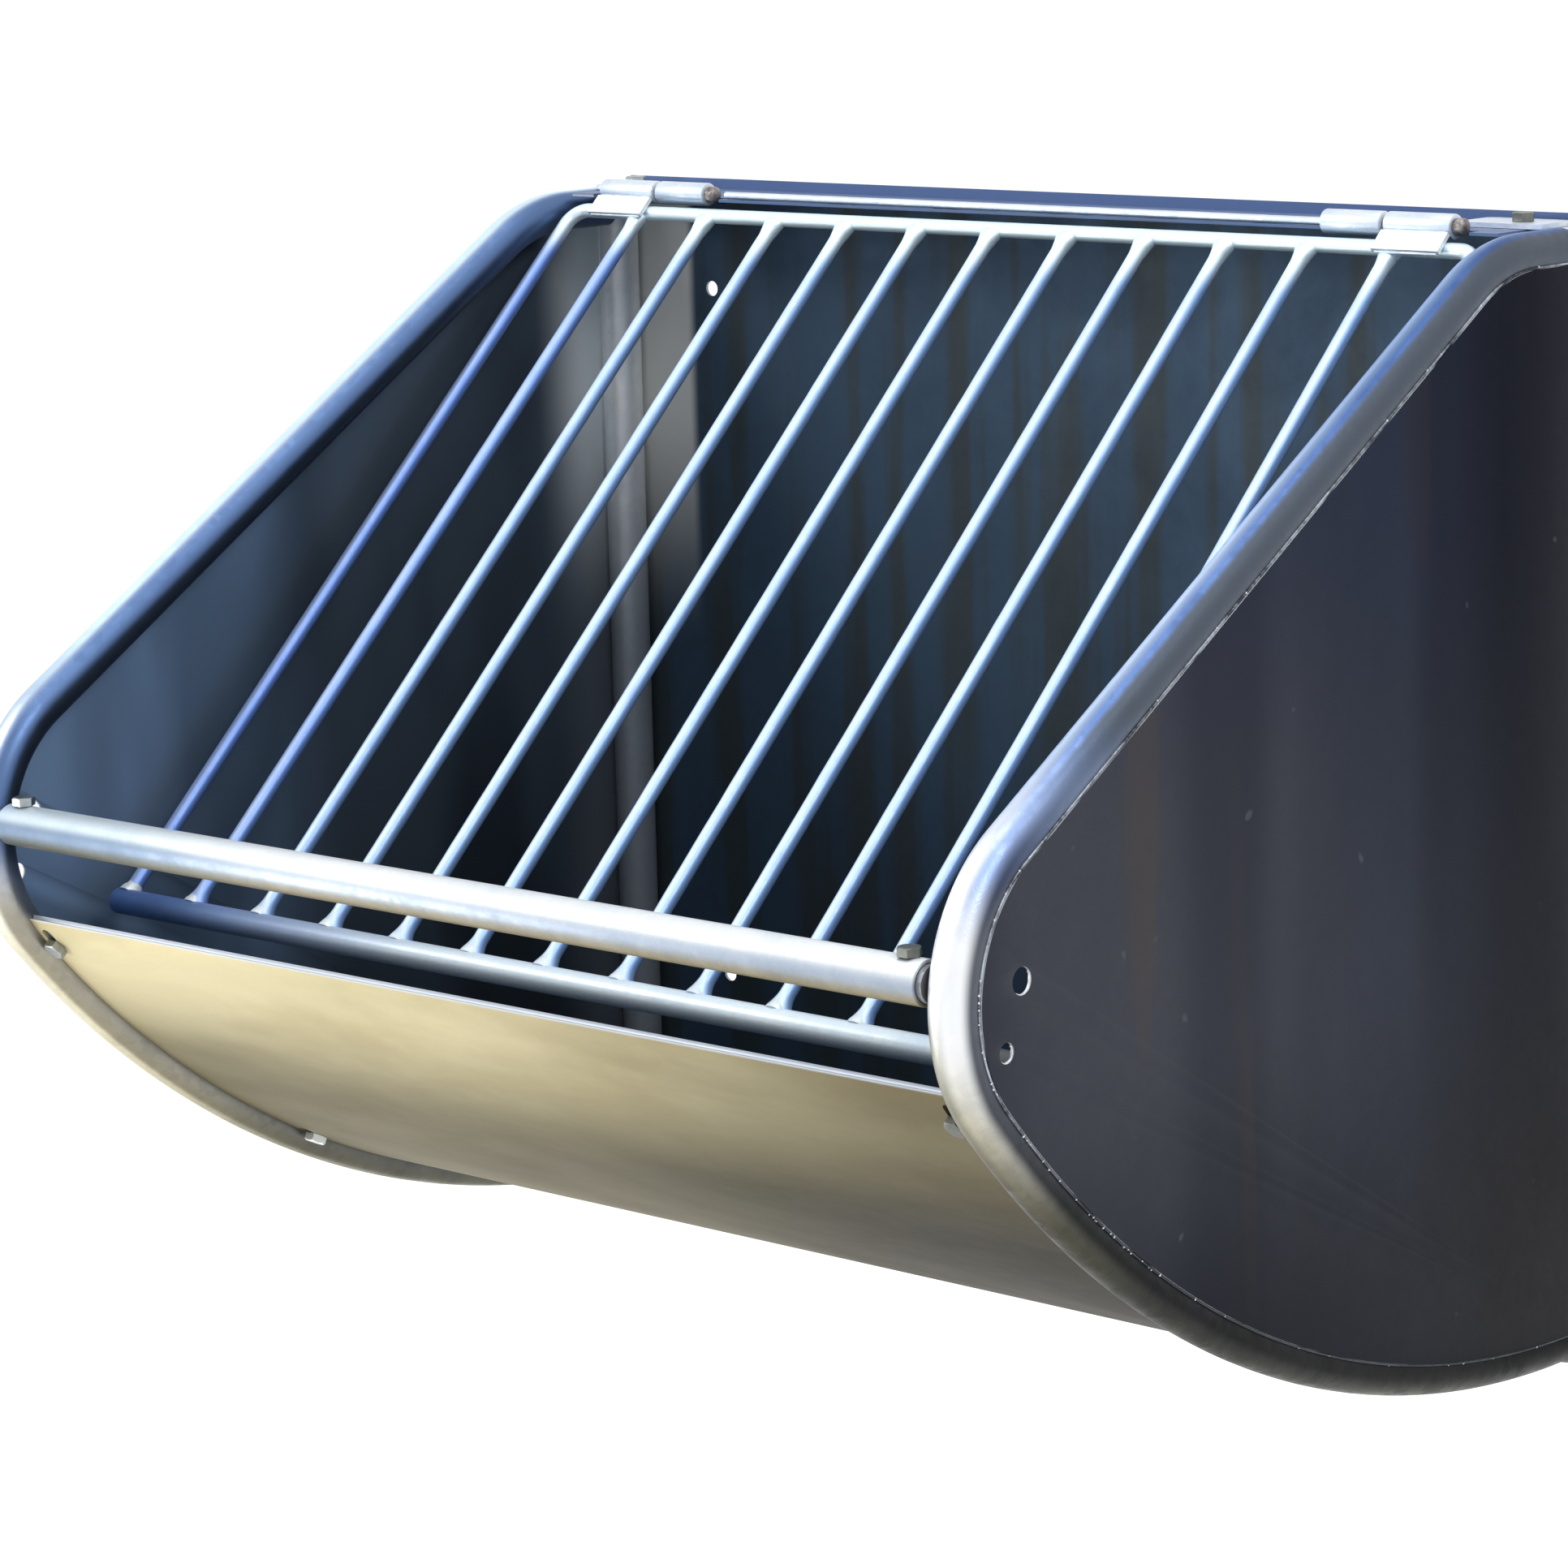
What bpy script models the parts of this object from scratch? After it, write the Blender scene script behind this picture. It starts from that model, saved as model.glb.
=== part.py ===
"""Wall-mounted hay feeder with a hinged hay-saving grille, in metres.

X runs along the wall, +Y points into the wall and +Z is up. The origin lies on
the rear face of the back sheet, midway between the sides, on the line of the
upper wall screws.
"""
import math

import bpy
import bmesh
from mathutils import Matrix, Vector

# Driving sizes of the grille
BAR_COUNT = 13
BAR_PITCH = 0.064
BAR_DIAMETER = 0.010
GRILLE_LENGTH = 0.612
GRILLE_SLOPE = 43.5
FRAME_BEND_RADIUS = 0.014
BOTTOM_TUBE_DIAMETER = 0.017
BOTTOM_TUBE_WALL = 0.002
BOTTOM_TUBE_OVERHANG = 0.001
SIDE_CLEARANCE = 0.004

# Driving sizes of the side frames
RIM_DIAMETER = 0.028
RIM_WALL = 0.002
TOP_RUN_HEIGHT = 0.058
SLOPE_START = 0.106
SLOPE_ANGLE = 31.5
TOP_CORNER_RADIUS = 0.116
NOSE_REACH = 0.615
NOSE_RADIUS = 0.099
BELLY_RADIUS = 0.737
BELLY_CENTRE_SETBACK = 0.028

# Driving sizes of the sheets
SIDE_SHEET = 0.002
BACK_SHEET = 0.002
TOP_EDGE_RISE = 0.007
TROUGH_SHEET = 0.002
LIP_HEM = 0.010
HEM_TO_BELLY = 0.007
REAR_BEND_RADIUS = 0.012
REAR_FLANGE_HEIGHT = 0.050
SCREW_HOLE_DIAMETER = 0.011
SCREW_INSET = 0.063
SCREW_ABOVE_FLANGE = 0.073

# Vent holes of the side sheets: diameter, distance behind the nose and above its centre
UPPER_VENT_DIAMETER = 0.016
UPPER_VENT_SETBACK = 0.042
UPPER_VENT_RISE = 0.012
LOWER_VENT_DIAMETER = 0.012
LOWER_VENT_SETBACK = 0.028
LOWER_VENT_RISE = -0.026

# Driving sizes of the hinges
HINGE_SETBACK = 0.074
HINGE_RISE = 0.016
SLEEVE_DIAMETER = 0.016
SLEEVE_FROM_END_BAR = 0.023
GRILLE_SLEEVE_LENGTH = 0.050
SLEEVE_END_PLAY = 0.003
BODY_SLEEVE_LENGTH = 0.045
PIN_DIAMETER = 0.008
PIN_HEAD_DIAMETER = 0.011
PIN_HEAD_LENGTH = 0.008
PIN_HEAD_CHAMFER = 0.002
PIN_TAIL = 0.002
RAIL_DIAMETER = 0.005
RAIL_START_GAP = 0.016
ROD_REACH = 0.016
ROD_DROP = 0.004
LUG_THICKNESS = 0.003
LUG_OVERLAP = 0.008

# Driving sizes of the front bar and its stubs
FRONT_BAR_DIAMETER = 0.027
FRONT_BAR_WALL = 0.002
FRONT_BAR_RISE = 0.014
FRONT_BAR_END_GAP = 0.0045
STUB_LENGTH = 0.048
BAR_BOLT_FROM_END = 0.013
BAR_BOLT_DEPTH = 0.009

# Driving sizes of the trough tabs and their slots
TAB_LENGTH = 0.024
TAB_WIDTH = 0.030
TAB_THICKNESS = 0.003
TAB_STARTS = {"front": -0.002, "middle": 0.279}
TAB_BOLT_EDGE = 0.009
SLOT_TRAVEL = 0.012

# Driving sizes of the corner plates
CORNER_PLATE_WIDTH = 0.062
CORNER_PLATE_DEPTH = 0.038
CORNER_PLATE_THICKNESS = 0.003
CORNER_PLATE_SETBACK = 0.008
CORNER_PLATE_ROUNDING = 0.006
CORNER_BOLT_EDGE = 0.015

# Hexagon bolts and nuts, one size throughout
BOLT_DIAMETER = 0.008
BOLT_FLATS = 0.013
BOLT_HEAD_HEIGHT = 0.0053
NUT_HEIGHT = 0.0065
BOLT_TAIL = 0.002

# Clearance between touching pieces, and how far a cutter overruns a wall
FIT_GAP = 0.0003
CUT_OVERRUN = 0.004

# Fineness of round shapes
TUBE_SIDES = 24
ROD_SIDES = 12
RIM_RESOLUTION = 6
ROD_RESOLUTION = 4
HOLE_SIDES = 16
MERGE_DISTANCE = 0.00005
SHARP_ANGLE = 35.0

PART_NAME = "hay_feeder"
SIDES = {"left": -1, "right": 1}

# Sizes that follow from the driving ones
RIM_RADIUS = RIM_DIAMETER / 2
END_BAR_X = (BAR_COUNT - 1) / 2 * BAR_PITCH
INNER_X = END_BAR_X + BAR_DIAMETER / 2 + SIDE_CLEARANCE
RIM_X = INNER_X + RIM_RADIUS
OUTER_X = INNER_X + RIM_DIAMETER
UPRIGHT_Y = -BACK_SHEET - FIT_GAP - RIM_RADIUS
HINGE_Y = -HINGE_SETBACK
HINGE_Z = TOP_RUN_HEIGHT + HINGE_RISE
FLANGE_TOP = HINGE_Z - RAIL_DIAMETER / 2 - FIT_GAP
BACK_TOP = FLANGE_TOP + TOP_EDGE_RISE
SLOPE = math.radians(SLOPE_ANGLE)

NOSE_Y = NOSE_RADIUS - NOSE_REACH
SLOPE_RUN = (NOSE_RADIUS * math.sin(SLOPE) - SLOPE_START - NOSE_Y) / math.cos(SLOPE)
NOSE_Z = TOP_RUN_HEIGHT - SLOPE_RUN * math.sin(SLOPE) - NOSE_RADIUS * math.cos(SLOPE)
BELLY_Y = -BELLY_CENTRE_SETBACK
BELLY_Z = NOSE_Z + math.sqrt((BELLY_RADIUS - NOSE_RADIUS) ** 2 - (BELLY_Y - NOSE_Y) ** 2)
BELLY_START = math.atan2(NOSE_Z - BELLY_Z, NOSE_Y - BELLY_Y) + math.tau
HEM_END = BELLY_START - HEM_TO_BELLY / NOSE_RADIUS
LIP = HEM_END - LIP_HEM / NOSE_RADIUS
FLANGE_Y = -BACK_SHEET - FIT_GAP
REAR_BEND_Y = FLANGE_Y - REAR_BEND_RADIUS
REAR_BEND_Z = BELLY_Z - math.sqrt((BELLY_RADIUS - REAR_BEND_RADIUS) ** 2 - (REAR_BEND_Y - BELLY_Y) ** 2)
REAR_FLANGE_TOP = REAR_BEND_Z + REAR_FLANGE_HEIGHT

FRONT_BAR_Z = NOSE_Z + FRONT_BAR_RISE
FRONT_BAR_Y = NOSE_Y - math.sqrt(NOSE_RADIUS ** 2 - FRONT_BAR_RISE ** 2)
FRONT_BAR_END_X = INNER_X - FRONT_BAR_END_GAP
BAR_BOLT_X = FRONT_BAR_END_X - BAR_BOLT_FROM_END

GRILLE_SLEEVE_OUTER_X = END_BAR_X - SLEEVE_FROM_END_BAR
GRILLE_SLEEVE_INNER_X = GRILLE_SLEEVE_OUTER_X - GRILLE_SLEEVE_LENGTH
BODY_SLEEVE_OUTER_X = GRILLE_SLEEVE_INNER_X - SLEEVE_END_PLAY
BODY_SLEEVE_INNER_X = BODY_SLEEVE_OUTER_X - BODY_SLEEVE_LENGTH

BOLT_HOLE_DIAMETER = BOLT_DIAMETER + 2 * FIT_GAP
PIN_BORE_DIAMETER = PIN_DIAMETER + 2 * FIT_GAP
GRILLE_TOP = -ROD_REACH
GRILLE_FOOT = -ROD_REACH - GRILLE_LENGTH
BAR_FOOT = GRILLE_FOOT + BOTTOM_TUBE_DIAMETER / 2 + FIT_GAP


def clear_scene():
    """Remove every object that the file starts with."""
    for existing in list(bpy.data.objects):
        bpy.data.objects.remove(existing, do_unlink=True)


def new_collection(name):
    """Add a collection to the scene."""
    collection = bpy.data.collections.new(name)
    bpy.context.scene.collection.children.link(collection)
    return collection


def metal(name, colour, roughness):
    """Make a plain metal material."""
    material = bpy.data.materials.new(name)
    material.use_nodes = True
    shader = material.node_tree.nodes["Principled BSDF"]
    shader.inputs["Base Color"].default_value = (*colour, 1.0)
    shader.inputs["Roughness"].default_value = roughness
    shader.inputs["Metallic"].default_value = 1.0
    return material


def add_object(name, data, material, parent=None):
    """Add a named piece to the part's collection."""
    piece = bpy.data.objects.new(name, data)
    PARTS.objects.link(piece)
    if material is not None:
        data.materials.append(material)
    piece.parent = parent
    return piece


def add_cutter(name, mesh):
    """Add a hidden cutting body."""
    cutter = bpy.data.objects.new(name, mesh)
    CUTTERS.objects.link(cutter)
    cutter.hide_render = True
    cutter.display_type = "WIRE"
    return cutter


def combine(piece, cutter, operation):
    """Take a body out of a piece, or join it on."""
    boolean = piece.modifiers.new(cutter.name, "BOOLEAN")
    boolean.operation = operation
    boolean.solver = "EXACT"
    boolean.object = cutter


def arc(centre, radius, start, end, steps):
    """Points of an arc in a plane, both ends included."""
    points = []
    for step in range(steps + 1):
        angle = start + (end - start) * step / steps
        points.append((centre[0] + radius * math.cos(angle), centre[1] + radius * math.sin(angle)))
    return points


def circle(centre, diameter):
    """Points of a round hole."""
    return arc(centre, diameter / 2, 0.0, math.tau, HOLE_SIDES)[:-1]


def rounded_rectangle(x_low, x_high, y_low, y_high, radius):
    """Corner points of a rectangle with round corners."""
    quarter = math.pi / 2
    centres = [(x_high - radius, y_high - radius), (x_low + radius, y_high - radius),
               (x_low + radius, y_low + radius), (x_high - radius, y_low + radius)]
    points = []
    for corner, centre in enumerate(centres):
        points += arc(centre, radius, corner * quarter, (corner + 1) * quarter, 4)
    return points


def belly_angle_at(depth_y, radius):
    """Angle on the belly arc where it reaches a given Y."""
    return math.tau - math.acos((depth_y - BELLY_Y) / radius)


def side_outline(inset, rear_y):
    """Side view from the wall along the top, round the nose and back underneath."""
    corner = (TOP_CORNER_RADIUS * math.tan(SLOPE / 2) - SLOPE_START, TOP_RUN_HEIGHT - TOP_CORNER_RADIUS)
    belly = BELLY_RADIUS - inset
    quarter = math.pi / 2
    points = [(rear_y, TOP_RUN_HEIGHT - inset)]
    points += arc(corner, TOP_CORNER_RADIUS - inset, quarter, quarter + SLOPE, 4)
    points += arc((NOSE_Y, NOSE_Z), NOSE_RADIUS - inset, quarter + SLOPE, BELLY_START, 10)
    points += arc((BELLY_Y, BELLY_Z), belly, BELLY_START, belly_angle_at(rear_y, belly), 12)[1:]
    return points


def poly_curve(name, splines, dimensions, cyclic):
    """A curve of straight-sided splines."""
    curve = bpy.data.curves.new(name, "CURVE")
    curve.dimensions = dimensions
    for points in splines:
        spline = curve.splines.new("POLY")
        spline.points.add(len(points) - 1)
        for target, point in zip(spline.points, points):
            target.co = (*Vector(point).to_3d(), 1.0)
        spline.use_cyclic_u = cyclic
    return curve


def slab(name, splines, thickness, material, parent=None):
    """A flat outline, with any holes, given a thickness about its own plane."""
    curve = poly_curve(name, splines, "2D", True)
    curve.fill_mode = "BOTH"
    curve.extrude = thickness / 2
    return add_object(name, curve, material, parent)


def section(name, splines, x_low, x_high, material):
    """A side-view outline drawn out along X."""
    piece = slab(name, splines, x_high - x_low, material)
    piece.rotation_euler = (math.pi / 2, 0.0, math.pi / 2)
    piece.location.x = (x_low + x_high) / 2
    return piece


def evaluated_mesh(piece):
    """Welded mesh of a scratch object, after which the object goes."""
    bpy.context.view_layer.update()
    depsgraph = bpy.context.evaluated_depsgraph_get()
    mesh = bpy.data.meshes.new_from_object(piece.evaluated_get(depsgraph))
    bpy.data.objects.remove(piece, do_unlink=True)
    work = bmesh.new()
    work.from_mesh(mesh)
    bmesh.ops.remove_doubles(work, verts=work.verts, dist=MERGE_DISTANCE)
    work.to_mesh(mesh)
    work.free()
    return mesh


def as_mesh(piece):
    """Turn a curve piece into a mesh piece with welded caps."""
    name = piece.name
    bpy.context.view_layer.update()
    placed = piece.matrix_world.copy()
    solid = add_object(name, evaluated_mesh(piece), None)
    solid.matrix_world = placed
    return solid


def turned(name, profile, closed, sides, material, parent=None):
    """A shape turned about its own Z axis, from a profile that runs down its outer side."""
    count = len(profile)
    edges = [(index, (index + 1) % count) for index in range(count if closed else count - 1)]
    mesh = bpy.data.meshes.new(name)
    mesh.from_pydata([(radius, 0.0, height) for radius, height in profile], edges, [])
    piece = add_object(name, mesh, material, parent)
    screw = piece.modifiers.new("turn", "SCREW")
    screw.axis = "Z"
    screw.steps = sides
    screw.render_steps = sides
    screw.use_merge_vertices = True
    screw.merge_threshold = MERGE_DISTANCE
    screw.use_smooth_shade = True
    return piece


def tube(name, diameter, bore, length, sides, material, parent=None):
    """A straight tube, centred on its origin along Z."""
    outer = diameter / 2
    inner = bore / 2
    top = length / 2
    profile = [(outer, top), (outer, -top), (inner, -top), (inner, top)]
    return turned(name, profile, True, sides, material, parent)


def along_x(piece, x_one, x_other, y, z):
    """Lay a turned piece along X, centred between two stations."""
    piece.rotation_euler = (0.0, math.pi / 2, 0.0)
    piece.location = ((x_one + x_other) / 2, y, z)
    return piece


def rods(name, bodies, sides):
    """Separate closed cylinders: each body is a radius, two ends along Z and a placement."""
    work = bmesh.new()
    for radius, low, high, placement in bodies:
        shift = Matrix.Translation((0.0, 0.0, (low + high) / 2))
        bmesh.ops.create_cone(work, cap_ends=True, segments=sides, radius1=radius, radius2=radius,
                              depth=high - low, matrix=placement @ shift)
    mesh = bpy.data.meshes.new(name)
    work.to_mesh(mesh)
    work.free()
    mesh.shade_smooth()
    mesh.set_sharp_from_angle(angle=math.radians(SHARP_ANGLE))
    return mesh


def hexagon(name, height):
    """Hexagonal prism that stands on its origin."""
    corner_radius = BOLT_FLATS / math.sqrt(3)
    return rods(name, [(corner_radius, 0.0, height, Matrix.Identity(4))], 6)


def bolt_mesh(shank_length):
    """Hexagon bolt: head above its origin, shank below."""
    body = [(BOLT_DIAMETER / 2, -shank_length, BOLT_HEAD_HEIGHT / 2, Matrix.Identity(4))]
    shank = add_cutter("shank", rods("shank", body, ROD_SIDES))
    head = add_cutter("head", hexagon("head", BOLT_HEAD_HEIGHT))
    combine(head, shank, "UNION")
    mesh = evaluated_mesh(head)
    bpy.data.objects.remove(shank, do_unlink=True)
    mesh.materials.append(STEEL_BRIGHT)
    return mesh


def nut_mesh():
    """Hexagon nut that stands on its origin."""
    body = [(BOLT_HOLE_DIAMETER / 2, -CUT_OVERRUN, NUT_HEIGHT + CUT_OVERRUN, Matrix.Identity(4))]
    bore = add_cutter("bore", rods("bore", body, ROD_SIDES))
    nut = add_cutter("nut", hexagon("nut", NUT_HEIGHT))
    combine(nut, bore, "DIFFERENCE")
    mesh = evaluated_mesh(nut)
    bpy.data.objects.remove(bore, do_unlink=True)
    mesh.materials.append(STEEL_BRIGHT)
    return mesh


def place_copy(name, mesh, placement):
    """One copy of a shared shape."""
    piece = add_object(name, mesh, None)
    piece.matrix_world = placement
    return piece


def build_side_sheet(side, sign):
    """Flat side sheet, let in flush with the outer side of the rim tube, with two vent holes."""
    lap = math.sqrt(2 * RIM_RADIUS * SIDE_SHEET - SIDE_SHEET ** 2)
    inset = lap + FIT_GAP
    outline = side_outline(inset, UPRIGHT_Y - inset)
    front_y = -NOSE_REACH
    holes = [circle((front_y + UPPER_VENT_SETBACK, NOSE_Z + UPPER_VENT_RISE), UPPER_VENT_DIAMETER),
             circle((front_y + LOWER_VENT_SETBACK, NOSE_Z + LOWER_VENT_RISE), LOWER_VENT_DIAMETER)]
    ends = sorted((sign * OUTER_X, sign * (OUTER_X - SIDE_SHEET)))
    section(side + "_side_sheet", [outline] + holes, ends[0], ends[1], STEEL_DARK)


def build_rim_tube(side, sign):
    """Bent rim tube from the wall over the top, round the nose and back under the belly."""
    rear_y = UPRIGHT_Y - RIM_RADIUS - FIT_GAP
    bend = side_outline(0.0, rear_y - RIM_RADIUS)
    route = [(rear_y, bend[0][1])] + bend + [(rear_y, bend[-1][1])]
    path = [(sign * RIM_X, y, z) for y, z in route]
    curve = poly_curve(side + "_rim_tube", [path], "3D", False)
    curve.bevel_depth = RIM_RADIUS
    curve.bevel_resolution = RIM_RESOLUTION
    piece = add_object(side + "_rim_tube", curve, STEEL_BRIGHT)
    wall = piece.modifiers.new("wall", "SOLIDIFY")
    wall.thickness = RIM_WALL
    wall.offset = -1.0


def build_upright(side, sign):
    """Straight rear tube of the side frame, in front of the back sheet's edge."""
    low = BELLY_Z - BELLY_RADIUS - RIM_RADIUS
    bore = RIM_DIAMETER - 2 * RIM_WALL
    piece = tube(side + "_back_upright", RIM_DIAMETER, bore, FLANGE_TOP - low, TUBE_SIDES, STEEL_BRIGHT)
    piece.location = (sign * RIM_X, UPRIGHT_Y, (low + FLANGE_TOP) / 2)


def belly_placement(x, run):
    """Frame on the trough's outer face: X across, Y towards the lip and Z outwards."""
    angle = BELLY_START + run / BELLY_RADIUS
    outward = Vector((0.0, math.cos(angle), math.sin(angle)))
    across = Vector((1.0, 0.0, 0.0))
    origin = Vector((x, BELLY_Y, BELLY_Z)) + outward * BELLY_RADIUS
    turn = Matrix((across, outward.cross(across), outward)).transposed().to_4x4()
    return Matrix.Translation(origin) @ turn


def trough_bolt_places():
    """Frames of the trough bolts, by side and by place along the belly."""
    places = {}
    for side, sign in SIDES.items():
        for where, start in TAB_STARTS.items():
            run = start + TAB_LENGTH / 2
            places[side + "_" + where] = belly_placement(sign * (INNER_X - TAB_BOLT_EDGE), run)
    return places


def slot_cutter(name, place):
    """Slotted hole that starts at a bolt and runs towards the lip."""
    radius = BOLT_HOLE_DIAMETER / 2
    outline = rounded_rectangle(-radius, radius, -radius, radius + SLOT_TRAVEL, radius)
    height = 2 * (TROUGH_SHEET + CUT_OVERRUN)
    cutter = add_cutter(name, evaluated_mesh(slab(name, [outline], height, None)))
    cutter.matrix_world = place
    return cutter


def trough_outline():
    """Section of the trough: hemmed lip, nose, belly and a flange up the back."""
    bend_start = math.atan2(REAR_BEND_Z - BELLY_Z, REAR_BEND_Y - BELLY_Y) + math.tau
    nose = (NOSE_Y, NOSE_Z)
    belly = (BELLY_Y, BELLY_Z)
    bend = (REAR_BEND_Y, REAR_BEND_Z)
    inner_nose = NOSE_RADIUS - TROUGH_SHEET
    outline = arc(nose, NOSE_RADIUS, LIP, BELLY_START, 4)
    outline += arc(belly, BELLY_RADIUS, BELLY_START, bend_start, 30)[1:]
    outline += arc(bend, REAR_BEND_RADIUS, bend_start, math.tau, 4)[1:]
    outline += [(FLANGE_Y, REAR_FLANGE_TOP), (FLANGE_Y - TROUGH_SHEET, REAR_FLANGE_TOP)]
    outline += arc(bend, REAR_BEND_RADIUS - TROUGH_SHEET, math.tau, bend_start, 4)
    outline += arc(belly, BELLY_RADIUS - TROUGH_SHEET, bend_start, BELLY_START, 30)[1:]
    outline += arc(nose, inner_nose, BELLY_START, HEM_END, 2)[1:]
    outline += arc(nose, inner_nose - TROUGH_SHEET, HEM_END, LIP, 2)
    return outline


def build_trough():
    """Curved trough sheet with a slotted hole for each bolt."""
    half = INNER_X - FIT_GAP
    trough = as_mesh(section("trough_sheet", [trough_outline()], -half, half, STEEL_WARM))
    for where, place in trough_bolt_places().items():
        combine(trough, slot_cutter("slot_" + where, place), "DIFFERENCE")


def build_trough_fixings():
    """Flat tabs on the rim tubes, with the bolts and nuts that hold the trough to them."""
    reach = TROUGH_SHEET + FIT_GAP
    under = reach + TAB_THICKNESS + FIT_GAP + NUT_HEIGHT
    bolt = bolt_mesh(FIT_GAP + under + BOLT_TAIL)
    nut = nut_mesh()
    for where, place in trough_bolt_places().items():
        sign = SIDES[where.split("_")[0]]
        outer = TAB_BOLT_EDGE - FIT_GAP
        ends = sorted((sign * outer, sign * (outer - TAB_WIDTH)))
        half = TAB_LENGTH / 2
        corners = [(ends[0], -half), (ends[1], -half), (ends[1], half), (ends[0], half)]
        hole = circle((0.0, 0.0), BOLT_HOLE_DIAMETER)
        tab = slab("trough_tab_" + where, [corners, hole], TAB_THICKNESS, STEEL_BRIGHT)
        tab.matrix_world = place @ Matrix.Translation((0.0, 0.0, -reach - TAB_THICKNESS / 2))
        place_copy("trough_bolt_" + where, bolt, place @ Matrix.Translation((0.0, 0.0, FIT_GAP)))
        place_copy("trough_nut_" + where, nut, place @ Matrix.Translation((0.0, 0.0, -under)))


def box_cutter(name, low, high):
    """Box between two corners."""
    work = bmesh.new()
    size = Vector(high) - Vector(low)
    middle = (Vector(high) + Vector(low)) / 2
    bmesh.ops.create_cube(work, size=1.0, matrix=Matrix.Translation(middle) @ Matrix.Diagonal((*size, 1.0)))
    mesh = bpy.data.meshes.new(name)
    work.to_mesh(mesh)
    work.free()
    return add_cutter(name, mesh)


def build_back_sheet():
    """Back sheet with wall screw holes; a flange welded across it under its top edge is notched at the hinges."""
    low = BELLY_Z - BELLY_RADIUS + REAR_BEND_RADIUS
    outline = [(0.0, low), (0.0, BACK_TOP), (-BACK_SHEET, BACK_TOP), (-BACK_SHEET, low)]
    sheet = as_mesh(section("back_sheet", [outline], -RIM_X, RIM_X, STEEL_DARK))
    edge = INNER_X - FIT_GAP
    front_low = (-edge, HINGE_Y - RAIL_DIAMETER / 2, FLANGE_TOP - BACK_SHEET)
    combine(sheet, box_cutter("top_flange", front_low, (edge, -BACK_SHEET / 2, FLANGE_TOP)), "UNION")
    across_wall = Matrix.Rotation(math.pi / 2, 4, "X")
    screw_x = INNER_X - SCREW_INSET
    reach = BACK_SHEET + CUT_OVERRUN
    bodies = []
    for x in (-screw_x, screw_x):
        for z in (0.0, REAR_FLANGE_TOP + SCREW_ABOVE_FLANGE):
            bodies.append((SCREW_HOLE_DIAMETER / 2, -reach, reach, Matrix.Translation((x, 0.0, z)) @ across_wall))
    for x, y in corner_bolt_places():
        spot = Matrix.Translation((x, y, FLANGE_TOP))
        bodies.append((BOLT_HOLE_DIAMETER / 2, -reach, reach, spot))
    combine(sheet, add_cutter("back_sheet_holes", rods("back_sheet_holes", bodies, HOLE_SIDES)), "DIFFERENCE")
    low = FLANGE_TOP - BACK_SHEET - CUT_OVERRUN
    high = FLANGE_TOP + CUT_OVERRUN
    front = HINGE_Y - RAIL_DIAMETER - CUT_OVERRUN
    dip = HINGE_Z - FLANGE_TOP
    seat_y = HINGE_Y + math.sqrt((SLEEVE_DIAMETER / 2) ** 2 - dip ** 2) + FIT_GAP
    for side, sign in SIDES.items():
        inner = BODY_SLEEVE_INNER_X - pin_head_room(sign)
        outer = GRILLE_SLEEVE_OUTER_X + PIN_HEAD_LENGTH + SLEEVE_END_PLAY
        ends = sorted((sign * inner, sign * outer))
        notch = box_cutter(side + "_sleeve_notch", (ends[0], front, low), (ends[1], seat_y, high))
        combine(sheet, notch, "DIFFERENCE")


def pin_head_room(sign):
    """Free length inboard of a body sleeve: room for a pin head on the left, none on the right."""
    return PIN_HEAD_LENGTH + SLEEVE_END_PLAY if sign < 0 else FIT_GAP


def corner_bolt_places():
    """Plan positions of the two corner bolts."""
    y = -CORNER_PLATE_SETBACK - CORNER_PLATE_DEPTH / 2
    return [(sign * (INNER_X - CORNER_BOLT_EDGE), y) for sign in SIDES.values()]


def build_corner_plates():
    """Plates that tie the top flange to the rims, each with one bolt and nut."""
    bottom = FLANGE_TOP + FIT_GAP
    rise = FLANGE_TOP - TOP_RUN_HEIGHT
    touch_x = RIM_X - math.sqrt(RIM_RADIUS ** 2 - rise ** 2)
    y_high = -CORNER_PLATE_SETBACK
    y_low = y_high - CORNER_PLATE_DEPTH
    head_z = bottom + CORNER_PLATE_THICKNESS + FIT_GAP
    nut_z = FLANGE_TOP - BACK_SHEET - FIT_GAP - NUT_HEIGHT
    bolt = bolt_mesh(head_z - nut_z + BOLT_TAIL)
    nut = nut_mesh()
    for (side, sign), (x, y) in zip(SIDES.items(), corner_bolt_places()):
        ends = sorted((sign * touch_x, sign * (touch_x - CORNER_PLATE_WIDTH)))
        outline = rounded_rectangle(ends[0], ends[1], y_low, y_high, CORNER_PLATE_ROUNDING)
        splines = [outline, circle((x, y), BOLT_HOLE_DIAMETER)]
        plate = slab(side + "_corner_plate", splines, CORNER_PLATE_THICKNESS, STEEL_BRIGHT)
        plate.location.z = bottom + CORNER_PLATE_THICKNESS / 2
        place_copy(side + "_corner_bolt", bolt, Matrix.Translation((x, y, head_z)))
        place_copy(side + "_corner_nut", nut, Matrix.Translation((x, y, nut_z)))


def build_edge_rail():
    """Round stiffening rail along the front edge of the top flange, in line with the hinges."""
    low = -BODY_SLEEVE_INNER_X + FIT_GAP + RAIL_START_GAP
    high = BODY_SLEEVE_INNER_X - FIT_GAP
    mesh = rods("edge_rail", [(RAIL_DIAMETER / 2, low, high, Matrix.Identity(4))], ROD_SIDES)
    rail = add_object("edge_rail", mesh, STEEL_BRIGHT)
    rail.rotation_euler = (0.0, math.pi / 2, 0.0)
    rail.location = (0.0, HINGE_Y, HINGE_Z)


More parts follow.
